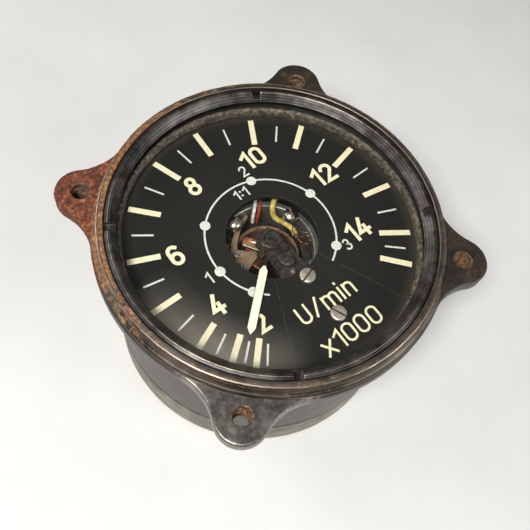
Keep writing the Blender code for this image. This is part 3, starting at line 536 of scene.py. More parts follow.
def lathe(bm, profile, steps, shape=None, place=None, row_finish=None):
    """Spin a profile about Z, joining its ends unless it starts on the axis.

    shape changes each point, and row_finish gives the finish number of some rows.
    """
    row_finish = row_finish or {}
    rings = []
    for radius, z in profile:
        if radius < 1e-6:
            rings.append([bm.verts.new((0, 0, z))])
            continue
        ring = []
        for step in range(steps):
            angle = math.tau * step / steps
            point = Vector((radius * math.cos(angle), radius * math.sin(angle), z))
            ring.append(bm.verts.new(shape(point, radius, angle) if shape else point))
        rings.append(ring)
    pairs = list(zip(rings, rings[1:]))
    if profile[0][0] > 0:
        pairs.append((rings[-1], rings[0]))
    for row, (upper, lower) in enumerate(pairs):
        for step in range(steps):
            after = (step + 1) % steps
            corners = [upper[step % len(upper)], upper[after % len(upper)],
                       lower[after % len(lower)], lower[step % len(lower)]]
            face = bm.faces.new(list(dict.fromkeys(corners)))
            face.material_index = row_finish.get(row, 0)
    if place:
        bmesh.ops.transform(bm, matrix=place, verts=[vert for ring in rings for vert in ring])


def stretch(start, end, spacing):
    """Profile points between two points, no further apart than spacing, without the last."""
    count = max(1, round(math.dist(start, end) / spacing))
    points = []
    for step in range(count):
        share = step / count
        points.append((start[0] + (end[0] - start[0]) * share, start[1] + (end[1] - start[1]) * share))
    return points


def join_rows(bm, rows, closed=False):
    """Faces between neighbouring rows of vertices, each row a loop, capped at both ends unless closed."""
    pairs = list(zip(rows, rows[1:]))
    if closed:
        pairs.append((rows[-1], rows[0]))
    for first, second in pairs:
        count = len(first)
        for corner in range(count):
            after = (corner + 1) % count
            bm.faces.new((first[corner], first[after], second[after], second[corner]))
    if not closed:
        bm.faces.new(rows[0])
        bm.faces.new(rows[-1])


def slab(bm, outline, z_low, z_high, holes=(), place=None):
    """Flat plate with an outline and holes."""
    curve = bpy.data.curves.new("outline", "CURVE")
    curve.dimensions = "2D"
    curve.fill_mode = "BOTH"
    curve.extrude = (z_high - z_low) / 2
    for ring in (outline, *holes):
        spline = curve.splines.new("POLY")
        spline.points.add(len(ring) - 1)
        for point, (x, y) in zip(spline.points, ring):
            point.co = (x, y, 0, 1)
        spline.use_cyclic_u = True
    guide = new_object("outline", curve)
    graph = bpy.context.evaluated_depsgraph_get()
    mesh = bpy.data.meshes.new_from_object(guide.evaluated_get(graph))
    mesh.transform(Matrix.Translation((0, 0, (z_low + z_high) / 2)))
    bm.from_mesh(mesh)
    bmesh.ops.remove_doubles(bm, verts=bm.verts, dist=0.0002)
    bpy.data.objects.remove(guide, do_unlink=True)
    if place:
        bmesh.ops.transform(bm, matrix=place, verts=bm.verts)


def wire(name, points, radius, finish, body="case", node=None, sides=4):
    """Round wire along points in millimetres."""
    curve = bpy.data.curves.new(name, "CURVE")
    curve.dimensions = "3D"
    curve.bevel_depth = radius * MM
    curve.bevel_resolution = sides
    curve.use_fill_caps = True
    spline = curve.splines.new("POLY")
    spline.points.add(len(points) - 1)
    for point, place in zip(spline.points, points):
        point.co = (*(Vector(place) * MM), 1.0)
    spline.use_smooth = True
    curve.materials.append(finish.material)
    return enlist(new_object(name, curve), body, node)


def settle(piece):
    """Apply a piece's modifiers to its mesh."""
    bpy.context.view_layer.update()
    graph = bpy.context.evaluated_depsgraph_get()
    mesh = bpy.data.meshes.new_from_object(piece.evaluated_get(graph))
    piece.modifiers.clear()
    piece.data = mesh
    shade(mesh)


def cut(piece, draw, wall=0, floor=0, operation="DIFFERENCE"):
    """Cut a piece with a tool drawn by a function. wall and floor number the finishes of the new faces."""
    bm = drawn(draw)
    to_metres(bm)
    for face in bm.faces:
        face.material_index = floor if abs(face.normal.z) > 0.7 else wall
    tool = new_object("tool", mesh_of("tool", bm, piece.data.materials))
    boolean = piece.modifiers.new("cut", "BOOLEAN")
    boolean.operation = operation
    boolean.solver = "EXACT"
    boolean.object = tool
    settle(piece)
    bpy.data.objects.remove(tool, do_unlink=True)


def soften(piece, width, segments=2, limit=38.0, finish=-1):
    """Round a piece's sharp edges."""
    bevel = piece.modifiers.new("soften", "BEVEL")
    bevel.width = width * MM
    bevel.segments = segments
    bevel.limit_method = "ANGLE"
    bevel.angle_limit = math.radians(limit)
    bevel.material = finish
    settle(piece)


def cylinder(bm, x, y, z_low, z_high, radius, sides):
    bmesh.ops.create_cone(bm, cap_ends=True, segments=sides, radius1=radius, radius2=radius,
                          depth=z_high - z_low, matrix=Matrix.Translation((x, y, (z_low + z_high) / 2)))


def block(bm, low, high, turn=0.0, x=0.0, y=0.0):
    middle = [(a + b) / 2 for a, b in zip(low, high)]
    size = [b - a for a, b in zip(low, high)]
    place = spin_z(turn, x, y) @ Matrix.Translation(middle) @ Matrix.Diagonal((*size, 1.0))
    bmesh.ops.create_cube(bm, size=1.0, matrix=place)


# ---------------------------------------------------------------- case and window

def flange_reach(angle):
    """How far the flange reaches from the axis, in the direction angle, in radians."""
    distance = math.hypot(HOLE_HALF, HOLE_HALF)
    off = abs((math.degrees(angle) - 45.0 + 45.0) % 90.0 - 45.0)
    hollow = FLANGE_R + EAR_BLEND_R
    near = EAR_R + EAR_BLEND_R
    spread = math.acos((distance ** 2 + hollow ** 2 - near ** 2) / (2 * distance * hollow))
    touch_x = distance + (hollow * math.cos(spread) - distance) * EAR_R / near
    touch_y = hollow * math.sin(spread) * EAR_R / near
    off = math.radians(off)
    if off < math.atan2(touch_y, touch_x):
        return distance * math.cos(off) + math.sqrt(EAR_R ** 2 - (distance * math.sin(off)) ** 2)
    if off < spread:
        lean = spread - off
        return hollow * math.cos(lean) - math.sqrt(EAR_BLEND_R ** 2 - (hollow * math.sin(lean)) ** 2)
    return FLANGE_R


def build_case():
    """Turned body: rim with two grooves, fillet, barrel and bore."""
    bore, wall, top = LEDGE_BORE_R, RIM_R, RIM_TOP
    crown = ((1.1, 0.0), (0.72, 0.04), (0.66, 0.14), (0.56, 0.14), (0.50, 0.05), (0.30, 0.12), (0.10, 0.26),
             (0.0, 0.5))
    profile = [(bore + 0.08, top - 0.2), (bore + 0.25, top - 0.02)]
    profile += [(wall - inset, top - drop) for inset, drop in crown]
    edge_rows = [7]
    dirt_rows = [3, 4, 5]
    for groove in (0.95, 1.65):
        middle = top - groove
        profile += [(wall, middle + 0.20), (wall - 0.05, middle + 0.13), (wall - 0.20, middle + 0.04),
                    (wall - 0.20, middle - 0.04), (wall - 0.05, middle - 0.13), (wall, middle - 0.20)]
        dirt_rows += range(len(profile) - 5, len(profile) - 2)
    bead = ((0.05, 1.65), (0.18, 1.40), (0.40, 1.20), (0.65, 1.04), (0.88, 0.86), (1.06, 0.62), (1.16, 0.36),
            (1.24, 0.14))
    profile += [(wall + out, SEAT_Z + rise) for out, rise in bead]
    fillet_from = len(profile) - 3
    profile += [(RIM_R + 1.3, SEAT_Z - 0.4), (RIM_R + 0.6, SEAT_Z - FLANGE_THICK + 1.0)]
    profile += arc(BARREL_R + 2.5, SEAT_Z - FLANGE_THICK - 2.4, 2.5, 110, 180, 6)
    profile += stretch((BARREL_R, 43.0), (BARREL_R, 14.3), 1.2)
    profile += [(BARREL_R, 14.3), (BARREL_R - 0.12, 14.1), (BARREL_R - 0.12, 13.9), (BARREL_R, 13.7)]
    profile += [(BARREL_R, 13.2), (BARREL_R - 0.3, 12.9), (BORE_R, 12.9), (BORE_R, LEDGE_Z)]
    profile += [(LEDGE_BORE_R, LEDGE_Z), (LEDGE_BORE_R, RIM_TOP - 0.9)]

    def knocks(point, radius, angle):
        """Slight unevenness of the outer wall, left by handling."""
        if radius < RIM_R - 2.5:
            return point
        dent = noise.noise(Vector((math.cos(angle) * 9, math.sin(angle) * 9, point.z * 0.25)))
        return moved_in(point, angle, max(0.0, dent) * 0.10)

    finish_rows = {row: 1 for row in edge_rows}
    finish_rows.update({row: 2 for row in range(fillet_from, len(profile))})
    finish_rows.update({row: 3 for row in dirt_rows})
    bm = drawn(lathe, profile, 360, shape=knocks, row_finish=finish_rows)
    add_piece("case_turning", bm, [RIM, EDGE, CASE, GRIME], node="case_body")


def build_flange():
    """Flange with four ears. Its front is pitted, and blistered at the rusty ear."""
    inner = RIM_R + 0.3
    low = SEAT_Z - FLANGE_THICK
    rows = 30
    rows_behind = 9
    steps = 1080
    edge = 0.55
    bm = bmesh.new()
    rings = []
    columns = [(row / rows_behind, -edge, low) for row in range(rows_behind + 1)]
    columns += [(1.0, -0.16, low + 0.12), (1.0, 0.0, low + edge), (1.0, 0.0, SEAT_Z - 1.9),
                (1.0, 0.0, SEAT_Z - edge), (1.0, -0.06, SEAT_Z - 0.3), (1.0, -0.2, SEAT_Z - 0.12),
                (1.0, -0.38, SEAT_Z - 0.03)]
    columns += [(1 - row / rows, -edge, SEAT_Z) for row in range(rows + 1)]
    for share, inset, z in columns:
        ring = []
        for step in range(steps):
            angle = math.tau * step / steps
            radius = inner + share * (flange_reach(angle) + inset - inner)
            x, y = radius * math.cos(angle), radius * math.sin(angle)
            z_here = z
            if z > low + 1.0:
                rust = max(0.0, 1.0 - math.dist((x, y), RUSTY_EAR) / 22.0)
                grain = noise.fractal(Vector((x, y, z)) * 0.9, 0.7, 2.1, 5)
                pits = noise.noise(Vector((x, y, z)) * 1.7 + Vector((40, 0, 0)))
                depth = 0.02 + 0.16 * rust ** 0.7
                lift = depth * (grain - 0.35) - 0.10 * max(0.0, pits - 0.45)
                lift = min(lift, 0.06)
                if z > SEAT_Z - 0.2:
                    z_here = z + lift
                else:
                    x, y = x * (1 + lift / radius), y * (1 + lift / radius)
            ring.append(bm.verts.new((x, y, z_here)))
        rings.append(ring)
    join_rows(bm, rings, closed=True)
    flange = add_piece("case_flange", bm, [CASE, EDGE, GRIME])

    drill = [(0, SEAT_Z + 1), (HOLE_R + 1.3, SEAT_Z + 1), (HOLE_R, SEAT_Z - 0.3), (HOLE_R, low + 0.3),
             (HOLE_R + 0.9, low - 0.6), (0, low - 0.6)]

    def draw_drills(tools):
        for side_x in (-1, 1):
            for side_y in (-1, 1):
                place = spin_z(0, side_x * HOLE_HALF, side_y * HOLE_HALF)
                lathe(tools, drill, 48, place=place)

    cut(flange, draw_drills, 2, 2)
    pitch = 0.7
    foot = low - 3.0

    def thread(point, radius, angle):
        if radius > HOLE_R + 0.01 or point.z > SEAT_Z - 1.4:
            return point
        return moved_in(point, angle, 0.30 * thread_wave(point.z, angle, pitch))

    profile = [(BUSH_R, low - 0.02), (BUSH_R, foot + 0.3), (BUSH_R - 0.3, foot), (HOLE_R + 0.25, foot),
               (HOLE_R, foot + 0.25)]
    profile += stretch((HOLE_R, foot + 0.35), (HOLE_R, SEAT_Z - 1.4), 0.1)
    profile += [(HOLE_R, SEAT_Z - 1.3), (HOLE_R + 0.15, SEAT_Z - 1.25), (HOLE_R + 0.4, SEAT_Z - 1.5),
                (HOLE_R + 0.4, low - 0.02)]
    outside = {row: 1 for row in range(4)}
    corners = ((1, 1), (-1, 1), (-1, -1), (1, -1))
    for number, (side_x, side_y) in enumerate(corners, 1):
        place = spin_z(0, side_x * HOLE_HALF, side_y * HOLE_HALF)
        bm = drawn(lathe, profile, 64, shape=thread, place=place, row_finish=outside)
        add_piece(f"ear_bush_{number}", bm, [GRIME, DARK], sharp=50.0)


def build_ring():
    """Threaded ring that holds the glass, with four spanner notches rubbed bright."""
    top = RING_HIGH.z
    outer = LEDGE_BORE_R - 0.08
    inner = 36.5
    low = RING_LOW.z
    slope_end = 38.0
    crown = ((0.06, 0.10), (0.16, 0.10), (0.22, 0.03), (0.40, 0.0), (0.62, 0.03), (0.66, 0.08), (0.72, 0.08),
             (0.76, 0.07), (1.0, 0.15), (1.22, 0.26), (1.40, 0.40))
    profile = [(outer, top - 0.62), (outer, low + 0.3), (outer - 0.3, low), (inner + 0.2, low),
               (inner, low + 0.2), (inner, low + 0.42), (inner + 0.08, low + 0.55)]
    profile += stretch((inner + 0.12, low + 0.58), (slope_end, top - 0.14), 0.3)
    profile += [(slope_end + out, top - drop) for out, drop in crown]
    bm = drawn(lathe, profile, 300)
    ring = add_piece("glass_ring", bm, [RING, EDGE], node="retaining_ring")

    def draw_notches(tools):
        for quarter in range(4):
            block(tools, (inner - 0.6, -1.1, top - 1.4), (outer + 0.5, 1.1, top + 1), 60.3 + 90 * quarter)

    cut(ring, draw_notches, 1)
    soften(ring, 0.13, 2, 42.0, 1)


def build_window():
    low, high = GLASS_LOW.z, GLASS_HIGH.z
    outer = GLASS_HIGH.x
    profile = [(0, high), (outer * 0.5, high), (outer - 0.5, high), (outer - 0.12, high - 0.1),
               (outer, high - 0.45), (outer, low + 0.35), (outer - 0.3, low), (outer * 0.5, low), (0, low)]
    pane = drawn(lathe, profile, 200)
    add_piece("window_pane", pane, [GLASS], node="glass")

    def clumps(point, radius, angle):
        grit = noise.fractal(point * 1.1, 0.6, 2.0, 4)
        return moved_in(point, angle, max(0.0, grit) * 0.10)

    inner = 36.3
    outer = SPACER_HIGH.x
    top, bottom = SPACER_HIGH.z, SPACER_LOW.z
    middle = (top + bottom) / 2
    profile = [(outer, top), (outer, bottom)]
    profile += arc(inner + 0.45, middle, 0.75, 270, 90, 14, tall=(top - bottom) / 2)
    surround = drawn(lathe, profile, 420, shape=clumps)
    add_piece("dial_surround", surround, [DUST], node="spacer_ring")


# ---------------------------------------------------------------- dial

def wedge(inset):
    """Wedge at six o'clock between the dial's two seams, each moved in by inset."""
    reach = 45.0
    top = SEAM_OFFSET - inset / math.cos(math.radians(SEAM_ANGLE))
    bottom = top + reach * math.tan(math.radians(SEAM_ANGLE))
    return [(-top, 0), (-bottom, -reach), (bottom, -reach), (top, 0)]


def build_dial():
    """Dial in two plates, the lower one a sector that unscrews."""
    hole = arc(0, DIAL_HOLE_Y, DIAL_HOLE_R, 0, 360, 120)[:-1]
    rim = arc(0, 0, DIAL_R, 0, 360, 300)[:-1]
    for name, inset, operation, node in (("dial_main", -0.02, "DIFFERENCE", "dial_plate"),
                                         ("dial_access_sector", 0.02, "INTERSECT", "dial_sector")):
        disc = drawn(slab, rim, DIAL_LOW.z, DIAL_TOP, [hole])
        plate = add_piece(name, disc, [DIAL, SEAM], node=node)

        def draw_wedge(tools):
            slab(tools, wedge(inset), DIAL_LOW.z - 1, DIAL_TOP + 1)

        cut(plate, draw_wedge, operation=operation)
        soften(plate, 0.14, 1, finish=1)


def ribbon(bm, points, width, closed=False, low=DIAL_TOP - 0.01, high=DIAL_TOP + PRINT):
    """Printed line of even width along flat points, with sloping sides."""
    count = len(points)
    stations = []
    for index in range(count):
        here = Vector(points[index])
        before = Vector(points[index - 1]) if index or closed else None
        after = Vector(points[(index + 1) % count]) if index < count - 1 or closed else None
        forward = (after - here).normalized() if after is not None else (here - before).normalized()
        backward = (here - before).normalized() if before is not None else forward
        tangent = (forward + backward).normalized()
        normal = Vector((-tangent.y, tangent.x))
        reach = width / 2 / max(0.5, normal.dot(Vector((-forward.y, forward.x))))
        slope = 0.8 * (high - low) / (width / 2)
        corners = []
        for side, z in ((1, low), (1 - slope, high), (slope - 1, high), (-1, low)):
            spot = here + normal * reach * side
            corners.append(bm.verts.new((spot.x, spot.y, z)))
        stations.append(corners)
    join_rows(bm, stations, closed)


def clock(radius, degrees):
    """Place at a radius and an angle clockwise from twelve o'clock."""
    return on_circle(radius, 90 - degrees)


MAJOR_MARKS = {2: -137.4, 3: -128.3, 4: -114.7, 5: -92.6, 6: -69.2, 7: -45.1, 8: -20.8, 9: 2.4, 10: 27.9,
               11: 50.5, 12: 74.5, 13: 98.2, 14: 122.2, 15: 137.1}
MINOR_MARKS = {1.5: -141.6, 2.5: -133.0, 3.5: -121.7, 4.5: -104.4, 5.5: -81.4, 6.5: -57.2, 7.5: -33.1,
               8.5: -9.1, 9.5: 14.7, 10.5: 39.6, 11.5: 62.1, 12.5: 86.4, 13.5: 110.3, 14.5: 129.9}
DIRECT_DOTS = {0.5: -128.0, 1: -94.8, 1.5: -48.1, 2: 18.6, 2.5: 75.2, 3: 134.2}
DIRECT_ARC = (16.3, -142.0, 150.0)


SIGN_WIDE = 0.53
SIGN_HALF = SIGN_WIDE / 2
X_TALL = 0.73               # height of a small letter, in a text one unit tall


def bowl(middle, half_wide, half_tall, steps):
    """Closed round stroke."""
    return arc(SIGN_HALF, middle, half_wide, 0, 360, steps, tall=half_tall)[:-1], True


def arches(count, step):
    """Stem with round arches, for n and m, and its width."""
    turn = step / 2
    strokes = [([(0, 0), (0, X_TALL)], False)]
    for left in (number * step for number in range(count)):
        strokes.append(([(left, X_TALL - turn)] + arc(left + turn, X_TALL - turn, turn, 180, 0, 10)
                        + [(left + step, 0)], False))
    return strokes, count * step


# Strokes of each sign, along their middle and one unit tall, and the sign's width. True closes a stroke.
GLYPHS = {
    "0": ([(arc(SIGN_HALF, 1 - SIGN_HALF, SIGN_HALF, 0, 180, 12)
            + arc(SIGN_HALF, SIGN_HALF, SIGN_HALF, 180, 360, 12), True)], SIGN_WIDE),
    "1": ([([(0, 0.76), (0.30, 1.0), (0.30, 0)], False)], 0.30),
    "2": ([(arc(SIGN_HALF, 1 - SIGN_HALF, SIGN_HALF, 165, -20, 12) + [(0.03, 0.0), (SIGN_WIDE, 0.0)], False)],
          SIGN_WIDE),
    "3": ([(arc(SIGN_HALF, 0.765, 0.22, 150, -80, 9, tall=0.235)
            + arc(SIGN_HALF, 0.27, SIGN_HALF, 85, -150, 11, tall=0.27), False)], SIGN_WIDE),
    "4": ([([(0.40, 1.0), (0.0, 0.26), (0.60, 0.26)], False), ([(0.43, 0.52), (0.43, 0.0)], False)], 0.60),
    "6": ([bowl(0.29, SIGN_HALF, 0.29, 20),
           (arc(SIGN_HALF, 1 - SIGN_HALF, SIGN_HALF, 40, 180, 9) + [(0, 0.29)], False)], SIGN_WIDE),
    "8": ([bowl(0.765, 0.215, 0.235, 18), bowl(0.27, SIGN_HALF, 0.27, 20)], SIGN_WIDE),
    ":": ([([(0.05, 0.23), (0.05, 0.25)], False), ([(0.05, 0.72), (0.05, 0.74)], False)], 0.10),
    "U": ([([(0, 1.0)] + arc(SIGN_HALF, SIGN_HALF, SIGN_HALF, 180, 360, 12) + [(SIGN_WIDE, 1.0)], False)],
          SIGN_WIDE),
    "/": ([([(0, 0.0), (0.42, 1.0)], False)], 0.42),
    "x": ([([(0, 0), (0.50, X_TALL)], False), ([(0, X_TALL), (0.50, 0)], False)], 0.50),
    "i": ([([(0.0, 0), (0.0, X_TALL)], False), ([(0.0, 1.045), (0.0, 1.075)], False)], 0.0),
    "n": arches(1, 0.46),
    "m": arches(2, 0.40),
}


def write(bm, text, centre, height, stroke, gap, stretch_x=1.0, high=DIAL_TOP + PRINT):
    """Upright text about a centre. Height is over all, and gap is the clear space between signs."""
    unit = height - stroke
    widths = [GLYPHS[sign][1] * unit * stretch_x for sign in text]
    total = sum(widths) + (gap + stroke) * (len(text) - 1)
    x = centre[0] - total / 2
    y = centre[1] - unit / 2
    for sign, width in zip(text, widths):
        for number, (points, closed) in enumerate(GLYPHS[sign][0]):
            places = [(x + px * unit * stretch_x, y + py * unit) for px, py in points]
            places = places[:-1] if closed and math.dist(places[0], places[-1]) < 1e-6 else places
            if not closed:
                places = square_ends(places, stroke)
            ribbon(bm, places, stroke, closed, high=high + 0.004 * number)
        x += width + stroke + gap


def square_ends(places, stroke):
    """Run a stroke on by half its width past both its ends."""
    first, second = Vector(places[0]), Vector(places[1])
    last, before = Vector(places[-1]), Vector(places[-2])
    start = first + (first - second).normalized() * stroke / 2
    end = last + (last - before).normalized() * stroke / 2
    return [tuple(start), *places[1:-1], tuple(end)] if len(places) > 2 else [tuple(start), tuple(end)]


# Each text has its centre, height, stroke width, clear space between signs and sideways stretch.
NUMERALS = (("8", (-8.2, 22.1), 5.7, 0.98, 0), ("10", (9.8, 21.1), 5.7, 0.98, 0.55, 1.05),
            ("12", (22.2, 6.9), 5.7, 0.98, 0.55, 1.05), ("14", (19.25, -10.8), 5.7, 0.98, 0.45, 0.98),
            ("6", (-22.6, 8.0), 5.7, 0.98, 0), ("4", (-21.9, -8.0), 5.7, 0.98, 0, 0.92),
            ("2", (-15.9, -17.4), 5.0, 0.9, 0))
UNITS = (("U/min", (0.1, -21.4), 4.8, 0.6, 0.72, 1.12), ("x1000", (0.35, -30.6), 4.9, 0.6, 0.62, 1.12))
DIRECT_NUMERALS = (("1", (-19.4, -1.4), 3.3, 0.5, 0), ("2", (5.2, 18.9), 3.3, 0.5, 0),
                   ("3", (14.2, -12.6), 3.3, 0.5, 0), ("1:1", (0.8, 13.7), 3.0, 0.5, 0.35))


def draw_marks(bm, angles, inner, outer, width):
    for angle in angles:
        ribbon(bm, [clock(inner, angle), clock(outer, angle)], width)


def draw_texts(bm, texts):
    for text in texts:
        write(bm, *text)


def draw_direct_scale(bm):
    """Inner scale: an arc with a dot at each half unit, and its numerals."""
    radius, start, end = DIRECT_ARC
    ribbon(bm, [clock(radius, start + (end - start) * step / 180) for step in range(181)], 0.5)
    face = DIAL_TOP + PRINT
    dot = [(0, face + 0.012), (1.15, face + 0.012), (1.28, face - 0.01), (1.31, DIAL_TOP - 0.01),
           (0, DIAL_TOP - 0.01)]
    for angle in DIRECT_DOTS.values():
        lathe(bm, dot, 40, place=spin_z(0, *clock(radius, angle)))
    draw_texts(bm, DIRECT_NUMERALS)


def build_printing():
    major = drawn(draw_marks, MAJOR_MARKS.values(), 27.4, 35.4, 1.5)
    minor = drawn(draw_marks, MINOR_MARKS.values(), 28.5, 33.7, 0.52)
    add_piece("scale_marks_major", major, [CREAM])
    add_piece("scale_marks_minor", minor, [WHITE])
    add_piece("scale_numerals", drawn(draw_texts, NUMERALS), [CREAM])
    add_piece("unit_lettering", drawn(draw_texts, UNITS), [CREAM])
    add_piece("direct_scale", drawn(draw_direct_scale), [WHITE])


def build_screw(name, node, x, y, turn, radius, seat, top, slot, dome, shank, foot):
    """Round slotted screw, crowned, with a softened edge."""
    profile = [(0, top + dome)]
    profile += [(radius * share, top + dome * (1 - share ** 2)) for share in (0.25, 0.45, 0.65, 0.8)]
    profile += [(radius - 0.16, top - 0.02), (radius - 0.05, top - 0.08), (radius, top - 0.2),
                (radius, seat + 0.08), (radius - 0.08, seat), (shank, seat), (shank, foot), (0, foot)]
    bm = drawn(lathe, profile, 48, place=spin_z(turn, x, y))
    screw = add_piece(name, bm, [NICKEL, GRIME], node=node)

    def draw_slot(tools):
        low = (-radius - 1, -slot / 2, (top + seat) / 2)
        block(tools, low, (radius + 1, slot / 2, top + 2), turn, x, y)

    cut(screw, draw_slot, 1, 1)
    soften(screw, 0.04, 1, 50.0, 0)


def build_dial_screws():
    seat = DIAL_TOP + 0.12
    for name, node, x, y, turn in (("sector_screw_inner", "dial_screw_inner", 0.35, -14.0, 20),
                                   ("sector_screw_outer", "dial_screw_outer", 0.35, -25.7, 115)):
        build_screw(name, node, x, y, turn, 1.95, seat, seat + 0.75, 0.52, 0.14, 0.95, 42.0)


# ---------------------------------------------------------------- pointer

def build_pointer():
    """Lume-filled blade in a shallow tray, tapered at both ends."""
    turn = spin_z(POINTER_REST)
    tip = 27.5
    low, high = LUME_LOW.z, LUME_HIGH.z

    def outline(inset):
        half = 1.05 - inset
        side = [(9.5 + inset, 0.3), (10.9, half), (tip - 1.7, half), (tip - inset - 0.25, 0.22)]
        return [(x, -y) for x, y in side] + [(tip - inset, 0)] + side[::-1]

    bm = drawn(slab, outline(0.0), low, low + 0.16, place=turn)
    tray = add_piece("pointer_tray", bm, [DARK], "pointer", "pointer_lume")
    soften(tray, 0.05, 1)
    bm = drawn(slab, outline(0.10), low + 0.16, high, place=turn)
    fill = add_piece("pointer_lume_fill", bm, [LUME], "pointer")
    soften(fill, 0.10, 3, 20.0)


# ---------------------------------------------------------------- movement behind the dial

BRIDGE_LOW = low_high("upper_bridge")[0]
BRACKET_LOW, BRACKET_HIGH = low_high("core_bracket")
COIL_LOW, COIL_HIGH = low_high("moving_coil")
BASE_TOP = low_high("base_plate")[1].z
CORE_SIDE = 173             # direction in which the core is held
COIL_TURN = POINTER_REST - 98.0
PILLARS = (("pillar_stud_right", "frame_pillar_right", 20.5, 65),
           ("pillar_stud_top", "frame_pillar_top", 112.5, 20))
PILLAR_R = 10.3
BRIDGE_TOP = 42.6


def smooth_route(knots, per_span=6):
    """Points along a smooth curve that passes through the knots."""
    knots = [Vector(knot) for knot in knots]
    padded = [2 * knots[0] - knots[1], *knots, 2 * knots[-1] - knots[-2]]
    points = []
    for a, b, c, d in zip(padded, padded[1:], padded[2:], padded[3:]):
        for step in range(per_span):
            t = step / per_span
            points.append(0.5 * (2 * b + (c - a) * t + (2 * a - 5 * b + 4 * c - d) * t ** 2
                                 + (3 * b - a - 3 * c + d) * t ** 3))
    return points + [knots[-1]]


def build_pillars():
    """Domed studs that stand on the frame; each is slotted beside its crown."""
    seat = 40.6
    for name, node, angle, slot_turn in PILLARS:
        x, y = on_circle(PILLAR_R, angle)
        crown = [(2.0 * math.sin(math.radians(tilt)), seat + 0.55 + 1.5 * math.cos(math.radians(tilt)))
                 for tilt in range(0, 91, 9)]
        profile = crown + [(2.0, seat + 0.15), (1.85, seat), (0.9, seat), (0.9, BASE_TOP + 0.3),
                           (0, BASE_TOP + 0.3)]
        bm = drawn(lathe, profile, 56, place=spin_z(0, x, y))
        stud = add_piece(name, bm, [CHROME, BRONZE], node=node)

        def draw(tools):
            block(tools, (-2.5, -0.22, seat + 1.45), (2.5, 0.22, seat + 4), slot_turn, x, y)

        cut(stud, draw, 1, 1)
        soften(stud, 0.05, 1, 50.0)


def build_coil():
    """The moving coil, wound in close turns round its former."""
    turns = 12
    layers = 2
    gauge = 0.078
    inner_x, outer_x = 1.15, 7.3
    low, high = COIL_LOW.z, COIL_HIGH.z
    place = spin_z(COIL_TURN)
    points = []
    for layer in range(layers):
        inset = 0.12 + layer * 0.24
        corner = 0.7 - inset / 2
        left, right = inner_x + inset, outer_x - inset
        bottom, top = low + inset, high - inset
        for turn in range(turns):
            share = turn / (turns - 1)
            y = (-0.86 + 1.72 * share) * (1 if layer % 2 == 0 else -1)
            loop = arc(right - corner, top - corner, corner, 0, 90, 3)
            loop += arc(left + corner, top - corner, corner, 90, 180, 3)
            loop += arc(left + corner, bottom + corner, corner, 180, 270, 3)
            loop += arc(right - corner, bottom + corner, corner, 270, 360, 3)
            points += [place @ Vector((x, y, z)) for x, z in loop]
    wire("coil_winding", points, gauge, COPPER, "pointer", "moving_coil", sides=1)
    bm = bmesh.new()
    for number in range(3):
        y = -0.62 + 0.62 * number
        block(bm, (2.2, y - 0.2, high - 0.66), (6.2, y + 0.2, high - 0.52), COIL_TURN)
    add_piece("coil_bands", bm, [BRONZE], "pointer")


def build_core_support():
    """Tan plate that holds the core from the side, with two screws and a folded rib."""
    spin = Matrix.Rotation(math.radians(CORE_SIDE), 2)
    half = [(3.0, 0.7), (5.0, 1.7), (7.4, 3.2), (7.6, 3.9), (8.6, 4.6)]
    local = [(x, -y) for x, y in half] + arc(7.6, 0, 3.6, -58, 58, 24) + list(reversed(half))
    outline = [tuple(spin @ Vector(point)) for point in local]
    bm = drawn(slab, outline, BRACKET_LOW.z, BRACKET_HIGH.z - 0.25)
    plate = add_piece("core_side_plate", bm, [BRONZE], node="core_bracket")
    soften(plate, 0.22, 3)
    bm = bmesh.new()
    for reach, spread in ((10.35, 44), (9.2, 40)):
        ridge = arc(7.6, 0, reach - 7.6, -spread, spread, 18)
        points = [tuple(spin @ Vector(point)) for point in ridge]
        ribbon(bm, points, 0.34, low=BRACKET_HIGH.z - 0.3, high=BRACKET_HIGH.z + 0.05)
    ribs = add_piece("core_plate_ribs", bm, [BRONZE])
    soften(ribs, 0.05, 1)
    for number, side in enumerate((1.8, -1.8), 1):
        x, y = spin @ Vector((8.2, side))
        build_screw(f"core_plate_screw_{number}", None, x, y, 60 * number, 0.85, BRACKET_HIGH.z - 0.2,
                    BRACKET_HIGH.z + 0.45, 0.3, 0.1, 0.4, BRACKET_LOW.z - 0.6)


def build_keeper():
    """Flat strip that bridges the magnet's open side, thickest at its broad end."""
    path = smooth_route([(-8.2, 2.5, 0), (-6.9, 5.2, 0), (-4.6, 7.5, 0), (-1.9, 9.5, 0), (1.7, 11.3, 0)], 8)
    bm = bmesh.new()
    count = len(path) - 1
    low = 37.1
    stations = []
    for index, here in enumerate(path):
        share = index / count
        ahead = path[min(index + 1, count)] - path[max(index - 1, 0)]
        normal = Vector((-ahead.y, ahead.x, 0)).normalized()
        half = 0.95 - 0.5 * share
        top = low + 1.35 - 0.5 * share
        stations.append([bm.verts.new(spot) for spot in (
            here + normal * half + Vector((0, 0, low)), here + normal * half + Vector((0, 0, top)),
            here - normal * half + Vector((0, 0, top)), here - normal * half + Vector((0, 0, low)))])
    join_rows(bm, stations)
    strip = add_piece("magnet_keeper", bm, [BRONZE])
    soften(strip, 0.12, 2)


